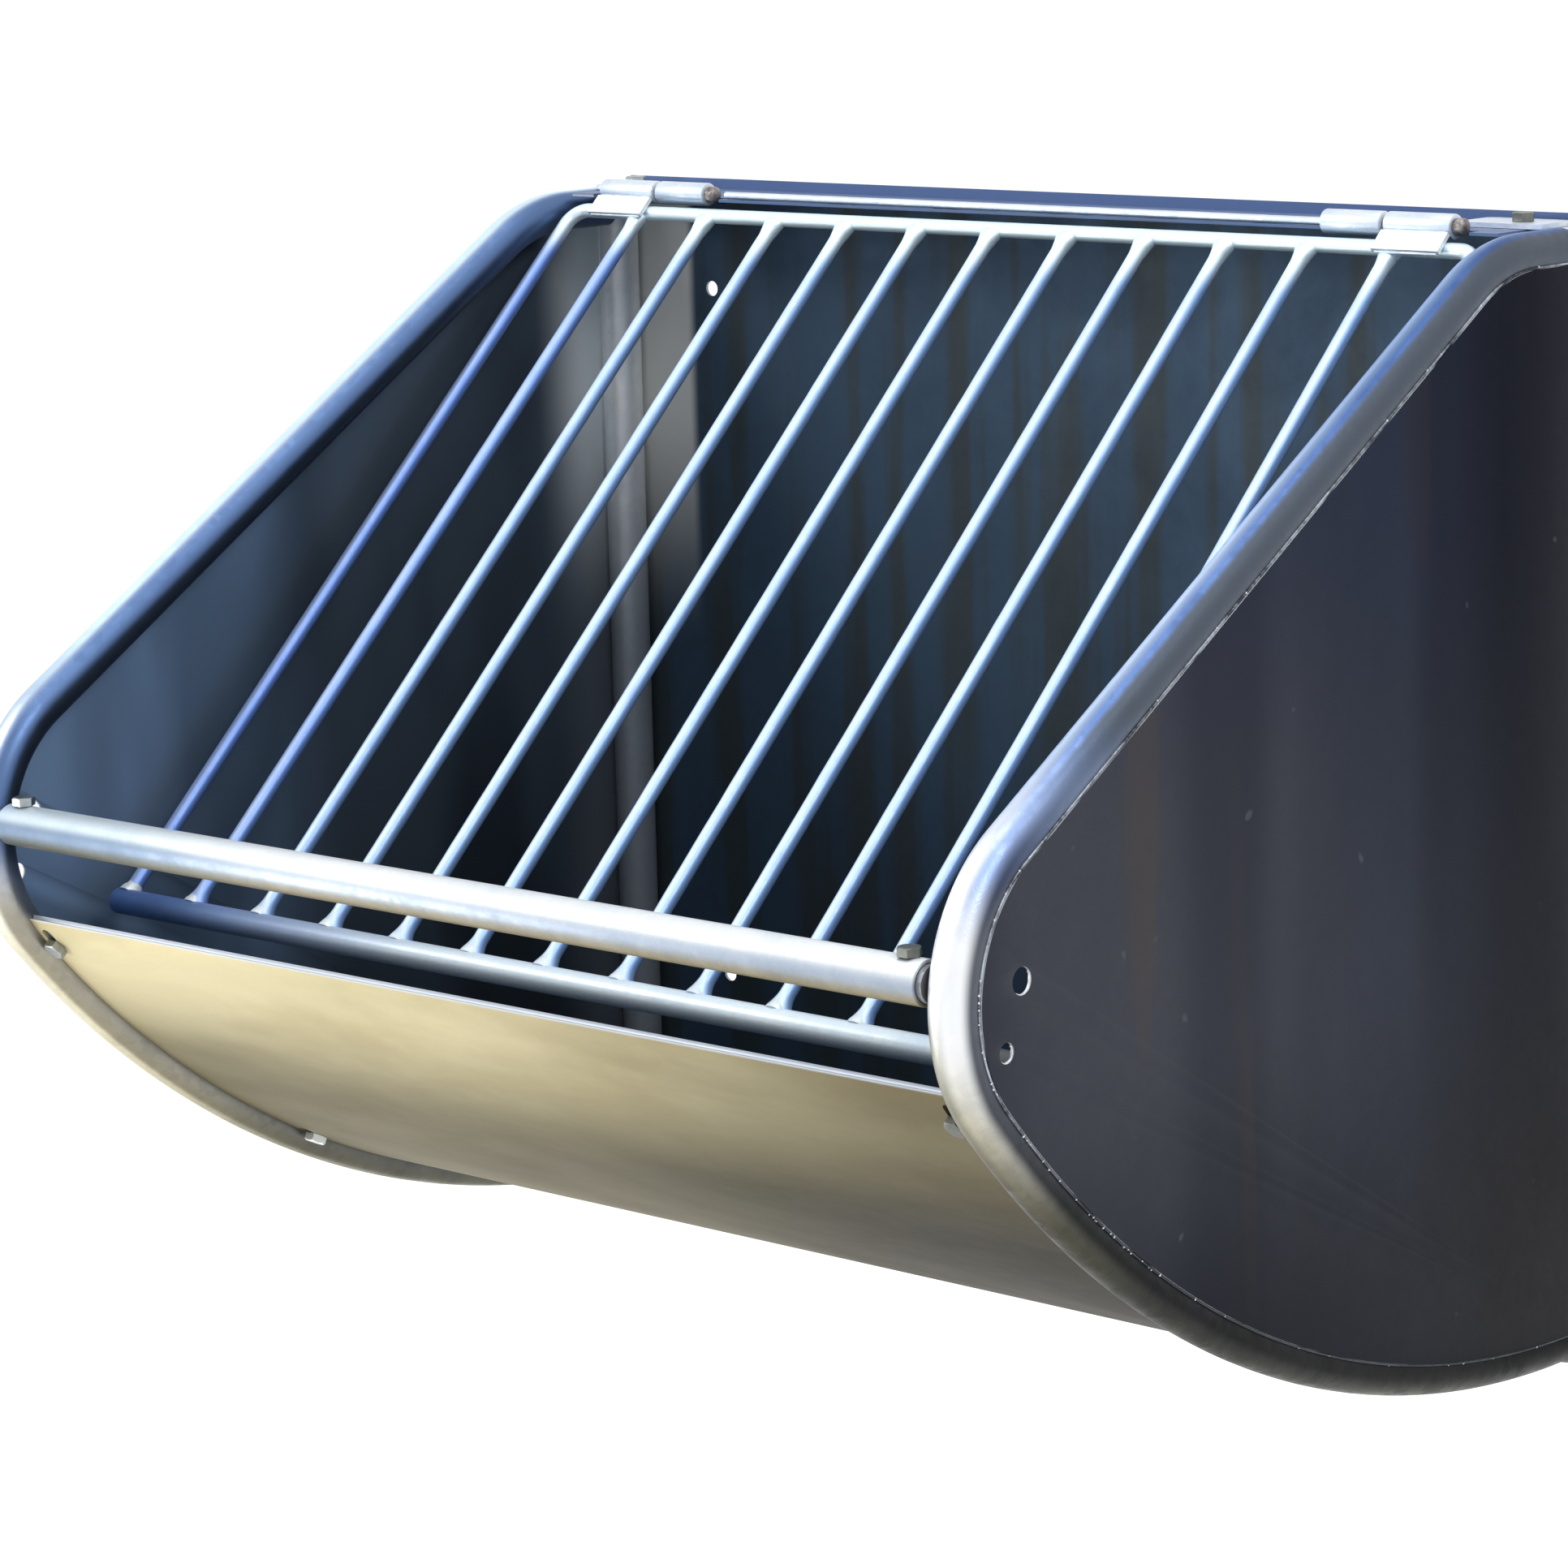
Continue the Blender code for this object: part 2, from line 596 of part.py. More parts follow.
def build_body_sleeves():
    """Fixed hinge sleeves on the top flange, inboard of the grille's own."""
    for side, sign in SIDES.items():
        sleeve = tube(side + "_body_sleeve", SLEEVE_DIAMETER, PIN_BORE_DIAMETER, BODY_SLEEVE_LENGTH,
                      TUBE_SIDES, STEEL_BRIGHT)
        along_x(sleeve, sign * BODY_SLEEVE_INNER_X, sign * BODY_SLEEVE_OUTER_X, HINGE_Y, HINGE_Z)


def build_hinge_pins():
    """Headed pins, both pushed in from the right."""
    radius = PIN_DIAMETER / 2
    head = PIN_HEAD_DIAMETER / 2
    seats = {"left": -BODY_SLEEVE_INNER_X + FIT_GAP, "right": GRILLE_SLEEVE_OUTER_X + FIT_GAP}
    tails = {"left": -GRILLE_SLEEVE_OUTER_X - PIN_TAIL, "right": BODY_SLEEVE_INNER_X + PIN_TAIL}
    for side, seat in seats.items():
        tip = seat + PIN_HEAD_LENGTH
        profile = [(0.0, tip), (head - PIN_HEAD_CHAMFER, tip), (head, tip - PIN_HEAD_CHAMFER), (head, seat),
                   (radius, seat), (radius, tails[side]), (0.0, tails[side])]
        pin = turned(side + "_hinge_pin", profile, False, TUBE_SIDES, STEEL_BRIGHT)
        pin.rotation_euler = (0.0, math.pi / 2, 0.0)
        pin.location = (0.0, HINGE_Y, HINGE_Z)


def build_front_bar():
    """Front bar across the noses, held on two stubs by a bolt at each end."""
    bore = FRONT_BAR_DIAMETER - 2 * FRONT_BAR_WALL
    bar = tube("front_bar", FRONT_BAR_DIAMETER, bore, 2 * FRONT_BAR_END_X, TUBE_SIDES, STEEL_BRIGHT)
    along_x(bar, -FRONT_BAR_END_X, FRONT_BAR_END_X, FRONT_BAR_Y, FRONT_BAR_Z)
    high = FRONT_BAR_DIAMETER / 2 + CUT_OVERRUN
    hole_radius = BOLT_HOLE_DIAMETER / 2
    holes = []
    for sign in SIDES.values():
        spot = Matrix.Translation((sign * BAR_BOLT_X, FRONT_BAR_Y, FRONT_BAR_Z))
        holes.append((hole_radius, -BAR_BOLT_DEPTH - FIT_GAP, high, spot))
    cutter = add_cutter("bar_bolt_holes", rods("bar_bolt_holes", holes, HOLE_SIDES))
    combine(bar, cutter, "DIFFERENCE")
    head_z = FRONT_BAR_Z + FRONT_BAR_DIAMETER / 2 + FIT_GAP
    bolt = bolt_mesh(head_z - FRONT_BAR_Z + BAR_BOLT_DEPTH)
    lay = Matrix.Rotation(math.pi / 2, 4, "Y")
    for side, sign in SIDES.items():
        ends = sorted((sign * (INNER_X - FIT_GAP), sign * (INNER_X - FIT_GAP - STUB_LENGTH)))
        mesh = rods(side + "_bar_stub", [(bore / 2 - FIT_GAP, ends[0], ends[1], lay)], TUBE_SIDES)
        stub = add_object(side + "_bar_stub", mesh, STEEL_BRIGHT)
        stub.location = (0.0, FRONT_BAR_Y, FRONT_BAR_Z)
        combine(stub, cutter, "DIFFERENCE")
        place_copy(side + "_bar_bolt", bolt, Matrix.Translation((sign * BAR_BOLT_X, FRONT_BAR_Y, head_z)))


def build_grille_frame(pivot):
    """Bent rod that makes the two end bars and the top of the grille."""
    bend = FRAME_BEND_RADIUS
    right = arc((END_BAR_X - bend, GRILLE_TOP - bend), bend, math.pi / 2, 0.0, 5)
    left = [(-x, y) for x, y in reversed(right)]
    path = [(-END_BAR_X, BAR_FOOT)] + left + right + [(END_BAR_X, BAR_FOOT)]
    curve = poly_curve("grille_frame_rod", [[(x, y, -ROD_DROP) for x, y in path]], "3D", False)
    curve.bevel_depth = BAR_DIAMETER / 2
    curve.bevel_resolution = ROD_RESOLUTION
    curve.use_fill_caps = True
    add_object("grille_frame_rod", curve, STEEL_BRIGHT, pivot)


def build_grille_bars(pivot):
    """Straight inner bars between the top rod and the bottom tube."""
    length = GRILLE_TOP - BAR_DIAMETER / 2 - FIT_GAP - BAR_FOOT
    lay = Matrix.Rotation(-math.pi / 2, 4, "X")
    mesh = rods("grille_bar", [(BAR_DIAMETER / 2, 0.0, length, lay)], ROD_SIDES)
    mesh.materials.append(STEEL_BRIGHT)
    for number in range(2, BAR_COUNT):
        bar = add_object("grille_bar_%02d" % number, mesh, None, pivot)
        bar.location = ((number - 1) * BAR_PITCH - END_BAR_X, BAR_FOOT, -ROD_DROP)


def build_bottom_tube(pivot):
    """Heavier tube along the foot of the grille."""
    half = END_BAR_X + BAR_DIAMETER / 2 + BOTTOM_TUBE_OVERHANG
    bore = BOTTOM_TUBE_DIAMETER - 2 * BOTTOM_TUBE_WALL
    foot = tube("grille_bottom_tube", BOTTOM_TUBE_DIAMETER, bore, 2 * half, TUBE_SIDES, STEEL_BRIGHT, pivot)
    along_x(foot, -half, half, GRILLE_FOOT, -ROD_DROP)


def build_grille_hinges(pivot):
    """Sleeves that turn on the pins, and the lugs that join them to the top rod."""
    lug_rear = -SLEEVE_DIAMETER / 2 - FIT_GAP
    lug_front = -ROD_REACH - LUG_OVERLAP
    lug_low = BAR_DIAMETER / 2 - ROD_DROP + FIT_GAP
    for side, sign in SIDES.items():
        sleeve = tube(side + "_grille_sleeve", SLEEVE_DIAMETER, PIN_BORE_DIAMETER, GRILLE_SLEEVE_LENGTH,
                      TUBE_SIDES, STEEL_BRIGHT, pivot)
        along_x(sleeve, sign * GRILLE_SLEEVE_INNER_X, sign * GRILLE_SLEEVE_OUTER_X, 0.0, 0.0)
        ends = sorted((sign * GRILLE_SLEEVE_INNER_X, sign * GRILLE_SLEEVE_OUTER_X))
        corners = [(ends[0], lug_front), (ends[1], lug_front), (ends[1], lug_rear), (ends[0], lug_rear)]
        lug = slab(side + "_grille_lug", [corners], LUG_THICKNESS, STEEL_BRIGHT, pivot)
        lug.location.z = lug_low + LUG_THICKNESS / 2


def build_grille():
    """Everything that swings, on an empty at the hinge line."""
    pivot = bpy.data.objects.new("grille_pivot", None)
    PARTS.objects.link(pivot)
    pivot.location = (0.0, HINGE_Y, HINGE_Z)
    pivot.rotation_euler = (math.radians(GRILLE_SLOPE), 0.0, 0.0)
    build_grille_frame(pivot)
    build_grille_bars(pivot)
    build_bottom_tube(pivot)
    build_grille_hinges(pivot)


clear_scene()
PARTS = new_collection(PART_NAME)
CUTTERS = new_collection("cutters")
STEEL_BRIGHT = metal("galvanised_bright", (0.62, 0.67, 0.76), 0.38)
STEEL_DARK = metal("galvanised_dark", (0.16, 0.18, 0.23), 0.45)
STEEL_WARM = metal("galvanised_warm", (0.64, 0.58, 0.42), 0.42)

for side_name, side_sign in SIDES.items():
    build_side_sheet(side_name, side_sign)
    build_rim_tube(side_name, side_sign)
    build_upright(side_name, side_sign)
build_trough()
build_trough_fixings()
build_back_sheet()
build_corner_plates()
build_edge_rail()
build_body_sleeves()
build_hinge_pins()
build_front_bar()
build_grille()
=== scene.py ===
import math

import bmesh
import bpy
from mathutils import Euler, Matrix, Vector


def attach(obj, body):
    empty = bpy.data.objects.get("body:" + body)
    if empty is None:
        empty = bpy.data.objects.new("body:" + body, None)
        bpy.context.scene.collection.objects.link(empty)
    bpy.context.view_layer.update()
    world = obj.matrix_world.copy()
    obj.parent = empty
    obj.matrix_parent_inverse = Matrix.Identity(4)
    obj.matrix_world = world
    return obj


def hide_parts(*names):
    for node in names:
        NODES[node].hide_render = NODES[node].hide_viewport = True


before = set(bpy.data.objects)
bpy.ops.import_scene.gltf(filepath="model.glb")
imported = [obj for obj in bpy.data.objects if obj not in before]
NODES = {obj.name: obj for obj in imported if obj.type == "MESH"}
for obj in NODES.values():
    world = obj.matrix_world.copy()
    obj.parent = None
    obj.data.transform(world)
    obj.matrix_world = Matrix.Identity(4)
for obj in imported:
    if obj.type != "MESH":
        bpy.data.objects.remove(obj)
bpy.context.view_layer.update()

# ---------------------------------------------------------------------------
# Camera and studio
# A wall feeder seen from its front right, a little from above, over a pale
# floor, in plain soft light. The floor lies as far below as it does in a stall.
# ---------------------------------------------------------------------------
FLOOR_DROP = 1.35
FLOOR_REACH = 90.0
FLOOR_COLOUR = (0.80, 0.80, 0.80)
FLOOR_LIFT = 0.72
SKY_STRENGTH = 0.45
WHITE = (1.0, 1.0, 1.0)


def put_in(name, data):
    """A new object in the scene, at the origin."""
    thing = bpy.data.objects.new(name, data)
    bpy.context.scene.collection.objects.link(thing)
    return thing


def feed(tree, made, inputs):
    """Gives a node's inputs their values, or links them to other nodes' sockets."""
    for name, value in inputs.items():
        socket = made.inputs[name]
        if isinstance(value, bpy.types.NodeSocket):
            tree.links.new(value, socket)
        else:
            socket.default_value = (*value, 1.0) if socket.type == "RGBA" else value
    return made


def node(tree, kind, inputs=None, **settings):
    """A node with its own settings, fed with its inputs."""
    made = tree.nodes.new(kind)
    for name, value in settings.items():
        setattr(made, name, value)
    return feed(tree, made, inputs or {})


def computed(tree, operation, *values):
    """Result of one step of arithmetic on numbers or sockets."""
    return node(tree, "ShaderNodeMath", dict(enumerate(values)), operation=operation).outputs[0]


def seen_directly(tree):
    """1 for camera, glossy and transmission rays, 0 for the rest."""
    rays = tree.nodes.new("ShaderNodeLightPath").outputs
    camera_or_gloss = computed(tree, "MAXIMUM", rays["Is Camera Ray"], rays["Is Glossy Ray"])
    return computed(tree, "MAXIMUM", camera_or_gloss, rays["Is Transmission Ray"])


lens = bpy.data.cameras.new("feeder_view")
lens.sensor_width = 36.0
lens.lens = 119.06
lens.clip_start = 0.05
lens.clip_end = 300.0
feeder_view = put_in("feeder_view", lens)
feeder_view.matrix_world = Matrix((
    (0.741614, -0.106904, 0.662254, 2.1918),
    (0.670365, 0.154748, -0.725716, -2.7026),
    (-0.024901, 0.982153, 0.186428, 0.3407),
    (0.0, 0.0, 0.0, 1.0)))
bpy.context.scene.camera = feeder_view
bpy.context.scene.view_settings.view_transform = "Standard"

studio_world = bpy.data.worlds.new("pale_studio")
studio_world.use_nodes = True
bpy.context.scene.world = studio_world
world_tree = studio_world.node_tree
world_level = node(world_tree, "ShaderNodeMapRange",
                   {"Value": seen_directly(world_tree), "To Min": SKY_STRENGTH, "To Max": 1.0})
feed(world_tree, world_tree.nodes["Background"], {"Color": WHITE, "Strength": world_level.outputs["Result"]})

floor_work = bmesh.new()
bmesh.ops.create_circle(floor_work, cap_ends=True, segments=128, radius=FLOOR_REACH,
                        matrix=Matrix.Translation((0.0, 0.0, -FLOOR_DROP)))
floor_mesh = bpy.data.meshes.new("stall_floor")
floor_work.to_mesh(floor_mesh)
floor_work.free()
floor_paint = bpy.data.materials.new("pale_floor")
floor_paint.use_nodes = True
floor_tree = floor_paint.node_tree
floor_level = node(floor_tree, "ShaderNodeMapRange", {"Value": seen_directly(floor_tree), "To Max": FLOOR_LIFT})
feed(floor_tree, floor_tree.nodes["Principled BSDF"], {
    "Base Color": FLOOR_COLOUR, "Roughness": 1.0, "Specular IOR Level": 0.0, "Emission Color": WHITE,
    "Emission Strength": floor_level.outputs["Result"]})
floor_mesh.materials.append(floor_paint)
put_in("stall_floor", floor_mesh)

for name, place, aim, size, watts in (
        ("key_softbox", (-2.1, -2.4, 1.7), (-0.1, -0.4, -0.1), 1.3, 56.0),
        ("trough_softbox", (-1.5, -1.7, -0.9), (-0.35, -0.5, -0.42), 0.7, 13.0),
        ("top_softbox", (0.4, -0.6, 2.6), (0.0, -0.3, 0.0), 1.6, 18.0),
        ("inner_softbox", (1.9, -1.0, 1.5), (-0.4, -0.10, -0.05), 0.7, 16.0)):
    softbox = bpy.data.lights.new(name, "AREA")
    softbox.shape = "SQUARE"
    softbox.size = size
    softbox.energy = watts
    lamp = put_in(name, softbox)
    lamp.location = place
    lamp.rotation_euler = (Vector(aim) - Vector(place)).to_track_quat("-Z", "Y").to_euler()
    lamp.visible_camera = False

# ---------------------------------------------------------------------------
# Side frames
# A bent steel tube rims each side, straight down the wall and curved in front;
# a flat sheet is let in flush with the tube's outer side and stitch-welded all
# round, and the whole frame is hot-dip galvanised with two vents at the nose.
# ---------------------------------------------------------------------------
INNER_X = 0.393
RIM_RADIUS = 0.014
RIM_X = INNER_X + RIM_RADIUS
OUTER_X = INNER_X + 2 * RIM_RADIUS
TOP_RUN_HEIGHT = 0.058
SLOPE_START = 0.106
SLOPE = math.radians(31.5)
TOP_CORNER_RADIUS = 0.116
NOSE_REACH = 0.615
NOSE_RADIUS = 0.099
BELLY_RADIUS = 0.737
BELLY_Y = -0.028
SHEET = 0.002
FIT_GAP = 0.0003
UPRIGHT_Y = -0.0163
FLANGE_TOP = 0.0712
NOSE_Y = NOSE_RADIUS - NOSE_REACH
SLOPE_RUN = (NOSE_RADIUS * math.sin(SLOPE) - SLOPE_START - NOSE_Y) / math.cos(SLOPE)
NOSE_Z = TOP_RUN_HEIGHT - SLOPE_RUN * math.sin(SLOPE) - NOSE_RADIUS * math.cos(SLOPE)
BELLY_Z = NOSE_Z + math.sqrt((BELLY_RADIUS - NOSE_RADIUS) ** 2 - (BELLY_Y - NOSE_Y) ** 2)
BELLY_START = math.atan2(NOSE_Z - BELLY_Z, NOSE_Y - BELLY_Y) + math.tau
SIDE_MIDDLE = (0.0, -0.26, -0.27)
VENTS = ((0.042, 0.012, 0.008), (0.028, -0.026, 0.006))
SIDES = {"left": -1, "right": 1}
FRAME_SIDES = 40
FLAT_TO_SIDE_VIEW = Euler((math.pi / 2, 0.0, math.pi / 2)).to_matrix().to_4x4()


def stepped(first, last, steps):
    """Values at even steps from the first to the last, both included."""
    return [first + (last - first) * step / steps for step in range(steps + 1)]


def arc_points(centre, radius, start, end, steps):
    """Points of an arc in a plane, both ends included."""
    return [(centre[0] + radius * math.cos(angle), centre[1] + radius * math.sin(angle))
            for angle in stepped(start, end, steps)]


def side_route(inset, rear_y):
    """Side view of the rim, a given way in from the tube's own line, from the wall round to the wall."""
    corner = (TOP_CORNER_RADIUS * math.tan(SLOPE / 2) - SLOPE_START, TOP_RUN_HEIGHT - TOP_CORNER_RADIUS)
    belly = BELLY_RADIUS - inset
    rear_angle = math.tau - math.acos((rear_y - BELLY_Y) / belly)
    route = [(rear_y, TOP_RUN_HEIGHT - inset)]
    route += arc_points(corner, TOP_CORNER_RADIUS - inset, math.pi / 2, math.pi / 2 + SLOPE, 16)
    route += arc_points((NOSE_Y, NOSE_Z), NOSE_RADIUS - inset, math.pi / 2 + SLOPE, BELLY_START, 48)
    route += arc_points((BELLY_Y, BELLY_Z), belly, BELLY_START, rear_angle, 64)[1:]
    return route


def line_mesh(*runs):
    """Mesh of bare edges along one or more runs of points."""
    points, edges = [], []
    for run in runs:
        first = len(points)
        points += [tuple(point) for point in run]
        edges += [(first + step, first + step + 1) for step in range(len(run) - 1)]
    mesh = bpy.data.meshes.new("line")
    mesh.from_pydata(points, edges, [])
    return mesh


def label(key):
    """A socket's own name, from its name in the script."""
    return key.capitalize().replace("_", " ")


def open_tree(kind, name, **inputs):
    """A new node group with its named inputs, and the sockets that bring them in."""
    tree = bpy.data.node_groups.new(name, kind)
    for key, (sort, *value) in inputs.items():
        socket = tree.interface.new_socket(label(key), in_out="INPUT", socket_type="NodeSocket" + sort)
        if value:
            socket.default_value = value[0]
    return tree, tree.nodes.new("NodeGroupInput").outputs


def vector_step(tree, operation, *values):
    """Outputs of one step of arithmetic on places and directions."""
    return node(tree, "ShaderNodeVectorMath", dict(enumerate(values)), operation=operation).outputs


def close_shape(tree, shape, entry):
    """Lumps and runs of zinc, real geometry, smooth shading and the metal, at the end of a geometry tree."""
    lumps = node(tree, "ShaderNodeTexNoise", {"Detail": 2.0, "Scale": entry["Lumps per metre"]})
    height = computed(tree, "MULTIPLY", computed(tree, "SUBTRACT", lumps.outputs["Fac"], 0.5), entry["Lump height"])
    normal = tree.nodes.new("GeometryNodeInputNormal").outputs[0]
    outward = node(tree, "ShaderNodeVectorMath", {0: normal, "Scale": height}, operation="SCALE")
    lumpy = node(tree, "GeometryNodeSetPosition", {"Geometry": shape, "Offset": outward.outputs[0]})
    smooth = node(tree, "GeometryNodeSetShadeSmooth", {"Geometry": lumpy.outputs[0]})
    real = node(tree, "GeometryNodeRealizeInstances", {0: smooth.outputs[0]})
    metal = node(tree, "GeometryNodeSetMaterial", {"Geometry": real.outputs[0], "Material": entry["Metal"]})
    tree.interface.new_socket("Shape", in_out="OUTPUT", socket_type="NodeSocketGeometry")
    node(tree, "NodeGroupOutput", {0: metal.outputs[0]})
    return tree


def make_drawn_tube_tree():
    """Round section drawn along the object's own line, with closed ends."""
    tree, entry = open_tree(
        "GeometryNodeTree", "drawn_tube", line=("Geometry",), radius=("Float", 0.004), sides=("Int", 24),
        lump_height=("Float", 0.0), lumps_per_metre=("Float", 120.0), metal=("Material",))
    line = node(tree, "GeometryNodeMeshToCurve", {"Mesh": entry["Line"]})
    ring = node(tree, "GeometryNodeCurvePrimitiveCircle", {"Resolution": entry["Sides"], "Radius": entry["Radius"]})
    tube = node(tree, "GeometryNodeCurveToMesh",
                {"Curve": line.outputs[0], "Profile Curve": ring.outputs[0], "Fill Caps": True})
    return close_shape(tree, tube.outputs[0], entry)


def make_weld_spot_tree():
    """Drops of weld and zinc of many sizes, strewn along the object's own line."""
    tree, entry = open_tree(
        "GeometryNodeTree", "weld_spots", line=("Geometry",), spacing=("Float", 0.006), drop_radius=("Float", 0.0012),
        share_left_out=("Float", 0.3), seed=("Int", 1), lump_height=("Float", 0.0004),
        lumps_per_metre=("Float", 500.0), metal=("Material",))
    line = node(tree, "GeometryNodeMeshToCurve", {"Mesh": entry["Line"]})
    spread = node(tree, "GeometryNodeCurveToPoints", {"Curve": line.outputs[0], "Length": entry["Spacing"]},
                  mode="LENGTH").outputs
    left_out = node(tree, "FunctionNodeRandomValue", {"Probability": entry["Share left out"], "Seed": entry["Seed"]},
                    data_type="BOOLEAN")
    thin = node(tree, "GeometryNodeDeleteGeometry", {"Geometry": spread["Points"], "Selection": left_out.outputs[3]},
                domain="POINT")
    drop = node(tree, "GeometryNodeMeshIcoSphere", {"Subdivisions": 2, "Radius": entry["Drop radius"]})
    size = node(tree, "FunctionNodeRandomValue", {0: (0.5, 0.6, 0.6), 1: (1.1, 1.7, 1.1), "Seed": entry["Seed"]},
                data_type="FLOAT_VECTOR")
    place = node(tree, "GeometryNodeInstanceOnPoints", {
        "Points": thin.outputs[0], "Instance": drop.outputs["Mesh"], "Rotation": spread["Rotation"],
        "Scale": size.outputs[0]})
    solid = node(tree, "GeometryNodeRealizeInstances", {0: place.outputs[0]})
    return close_shape(tree, solid.outputs[0], entry)


def plain_mesh(thing):
    """Plain mesh of an object as its modifiers or its curve leave it."""
    depsgraph = bpy.context.evaluated_depsgraph_get()
    depsgraph.update()
    return bpy.data.meshes.new_from_object(thing.evaluated_get(depsgraph), depsgraph=depsgraph)


def grown(mesh, tree, finish, **sizes):
    """Plain mesh that a geometry tree makes of a mesh; the sizes go in by their sockets' own names."""
    wanted = {"Metal": finish.metal, **{label(key): value for key, value in sizes.items()}}
    source = put_in("growing", mesh)
    modifier = source.modifiers.new("growing", "NODES")
    modifier.node_group = tree
    for item in tree.interface.items_tree:
        if item.in_out == "INPUT" and item.name in wanted:
            modifier[item.identifier] = wanted.pop(item.name)
    assert not wanted, wanted
    made = plain_mesh(source)
    source.modifiers.remove(modifier)
    bpy.data.objects.remove(source, do_unlink=True)
    return made


def cleaned(mesh, sharp=40.0):
    """Doubles merged, faces outwards, smooth but for the sharp edges."""
    work = bmesh.new()
    work.from_mesh(mesh)
    bmesh.ops.remove_doubles(work, verts=work.verts, dist=0.000005)
    bmesh.ops.recalc_face_normals(work, faces=work.faces)
    work.to_mesh(mesh)
    work.free()
    mesh.shade_smooth()
    mesh.set_sharp_from_angle(angle=math.radians(sharp))
    return mesh


def joined(meshes):
    """Several meshes in one."""
    work = bmesh.new()
    for mesh in meshes:
        work.from_mesh(mesh)
    whole = bpy.data.meshes.new("joined")
    work.to_mesh(whole)
    work.free()
    return whole


def fit_piece(name, mesh, finish, body, slot, *nodes, sharp=40.0):
    """One finished piece on its body, in place of the solids that it stands for."""
    cleaned(mesh, sharp)
    mesh.name = name
    mesh.materials.clear()
    mesh.materials.append(finish.metal)
    piece = put_in(name, mesh)
    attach(piece, body)
    if nodes:
        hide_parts(*nodes)


def finish_nodes(finish, *names):
    """A better metal on solids whose shape is right."""
    for name in names:
        for slot in NODES[name].material_slots:
            slot.material = finish.metal


def make_zinc_skin():
    """Galvanised zinc: clouds, spangle and fine grain between a pale and a deep tone."""
    tree, entry = open_tree(
        "ShaderNodeTree", "zinc_skin", place=("Vector",), pale=("Color", (0.8, 0.8, 0.8, 1.0)),
        deep=("Color", (0.5, 0.5, 0.5, 1.0)), cloud_scale=("Float", 9.0), cloud_contrast=("Float", 1.6),
        spangle_scale=("Float", 120.0), spangle_strength=("Float", 0.18), grain_scale=("Float", 900.0),
        roughest=("Float", 0.55), smoothest=("Float", 0.32))
    for name, kind in (("Color", "NodeSocketColor"), ("Roughness", "NodeSocketFloat"), ("Height", "NodeSocketFloat")):
        tree.interface.new_socket(name, in_out="OUTPUT", socket_type=kind)
    clouds = node(tree, "ShaderNodeTexNoise", {
        "Vector": entry["Place"], "Scale": entry["Cloud scale"], "Detail": 6.0, "Roughness": 0.62, "Distortion": 0.5})
    spangle = node(tree, "ShaderNodeTexVoronoi", {"Vector": entry["Place"], "Scale": entry["Spangle scale"]})
    grain = node(tree, "ShaderNodeTexNoise", {
        "Vector": entry["Place"], "Scale": entry["Grain scale"], "Detail": 3.0}).outputs["Fac"]
    flake = node(tree, "ShaderNodeSeparateColor", {0: spangle.outputs["Color"]}).outputs[0]

    def swing(pattern, strength):
        return computed(tree, "MULTIPLY", computed(tree, "SUBTRACT", pattern, 0.5), strength)

    cloud_part = swing(clouds.outputs["Fac"], entry["Cloud contrast"])
    flake_part = swing(flake, entry["Spangle strength"])
    tone = computed(tree, "ADD", computed(tree, "ADD", cloud_part, flake_part), swing(grain, 0.35))
    tone = computed(tree, "ADD", tone, 0.5)
    blend = node(tree, "ShaderNodeMix", {"Factor": tone, "A": entry["Deep"], "B": entry["Pale"]},
                 data_type="RGBA", clamp_factor=True)
    rough = node(tree, "ShaderNodeMapRange", {
        "Value": computed(tree, "ADD", computed(tree, "MULTIPLY", flake_part, 1.5), tone),
        "To Min": entry["Roughest"], "To Max": entry["Smoothest"]})
    height = computed(tree, "ADD", computed(tree, "MULTIPLY", grain, 0.6), computed(tree, "MULTIPLY", flake, 0.25))
    node(tree, "NodeGroupOutput", {
        "Color": blend.outputs["Result"], "Roughness": rough.outputs["Result"], "Height": height})
    return tree


def smooth_cut(tree, value, low, high, to_low=0.0, to_high=1.0):
    """A value's soft step from one level to another between a low and a high value."""
    return node(tree, "ShaderNodeMapRange", {
        "Value": value, "From Min": low, "From Max": high, "To Min": to_low, "To Max": to_high},
        interpolation_type="SMOOTHSTEP").outputs["Result"]


def coordinates(tree, kind):
    """Where a point of the feeder is, or which way its face looks, in the part's own frame."""
    return tree.nodes.new("ShaderNodeTexCoord").outputs[kind]


def share_of(tree, kind, axis):
    """One axis of the coordinates."""
    return node(tree, "ShaderNodeSeparateXYZ", {0: coordinates(tree, kind)}).outputs[axis]


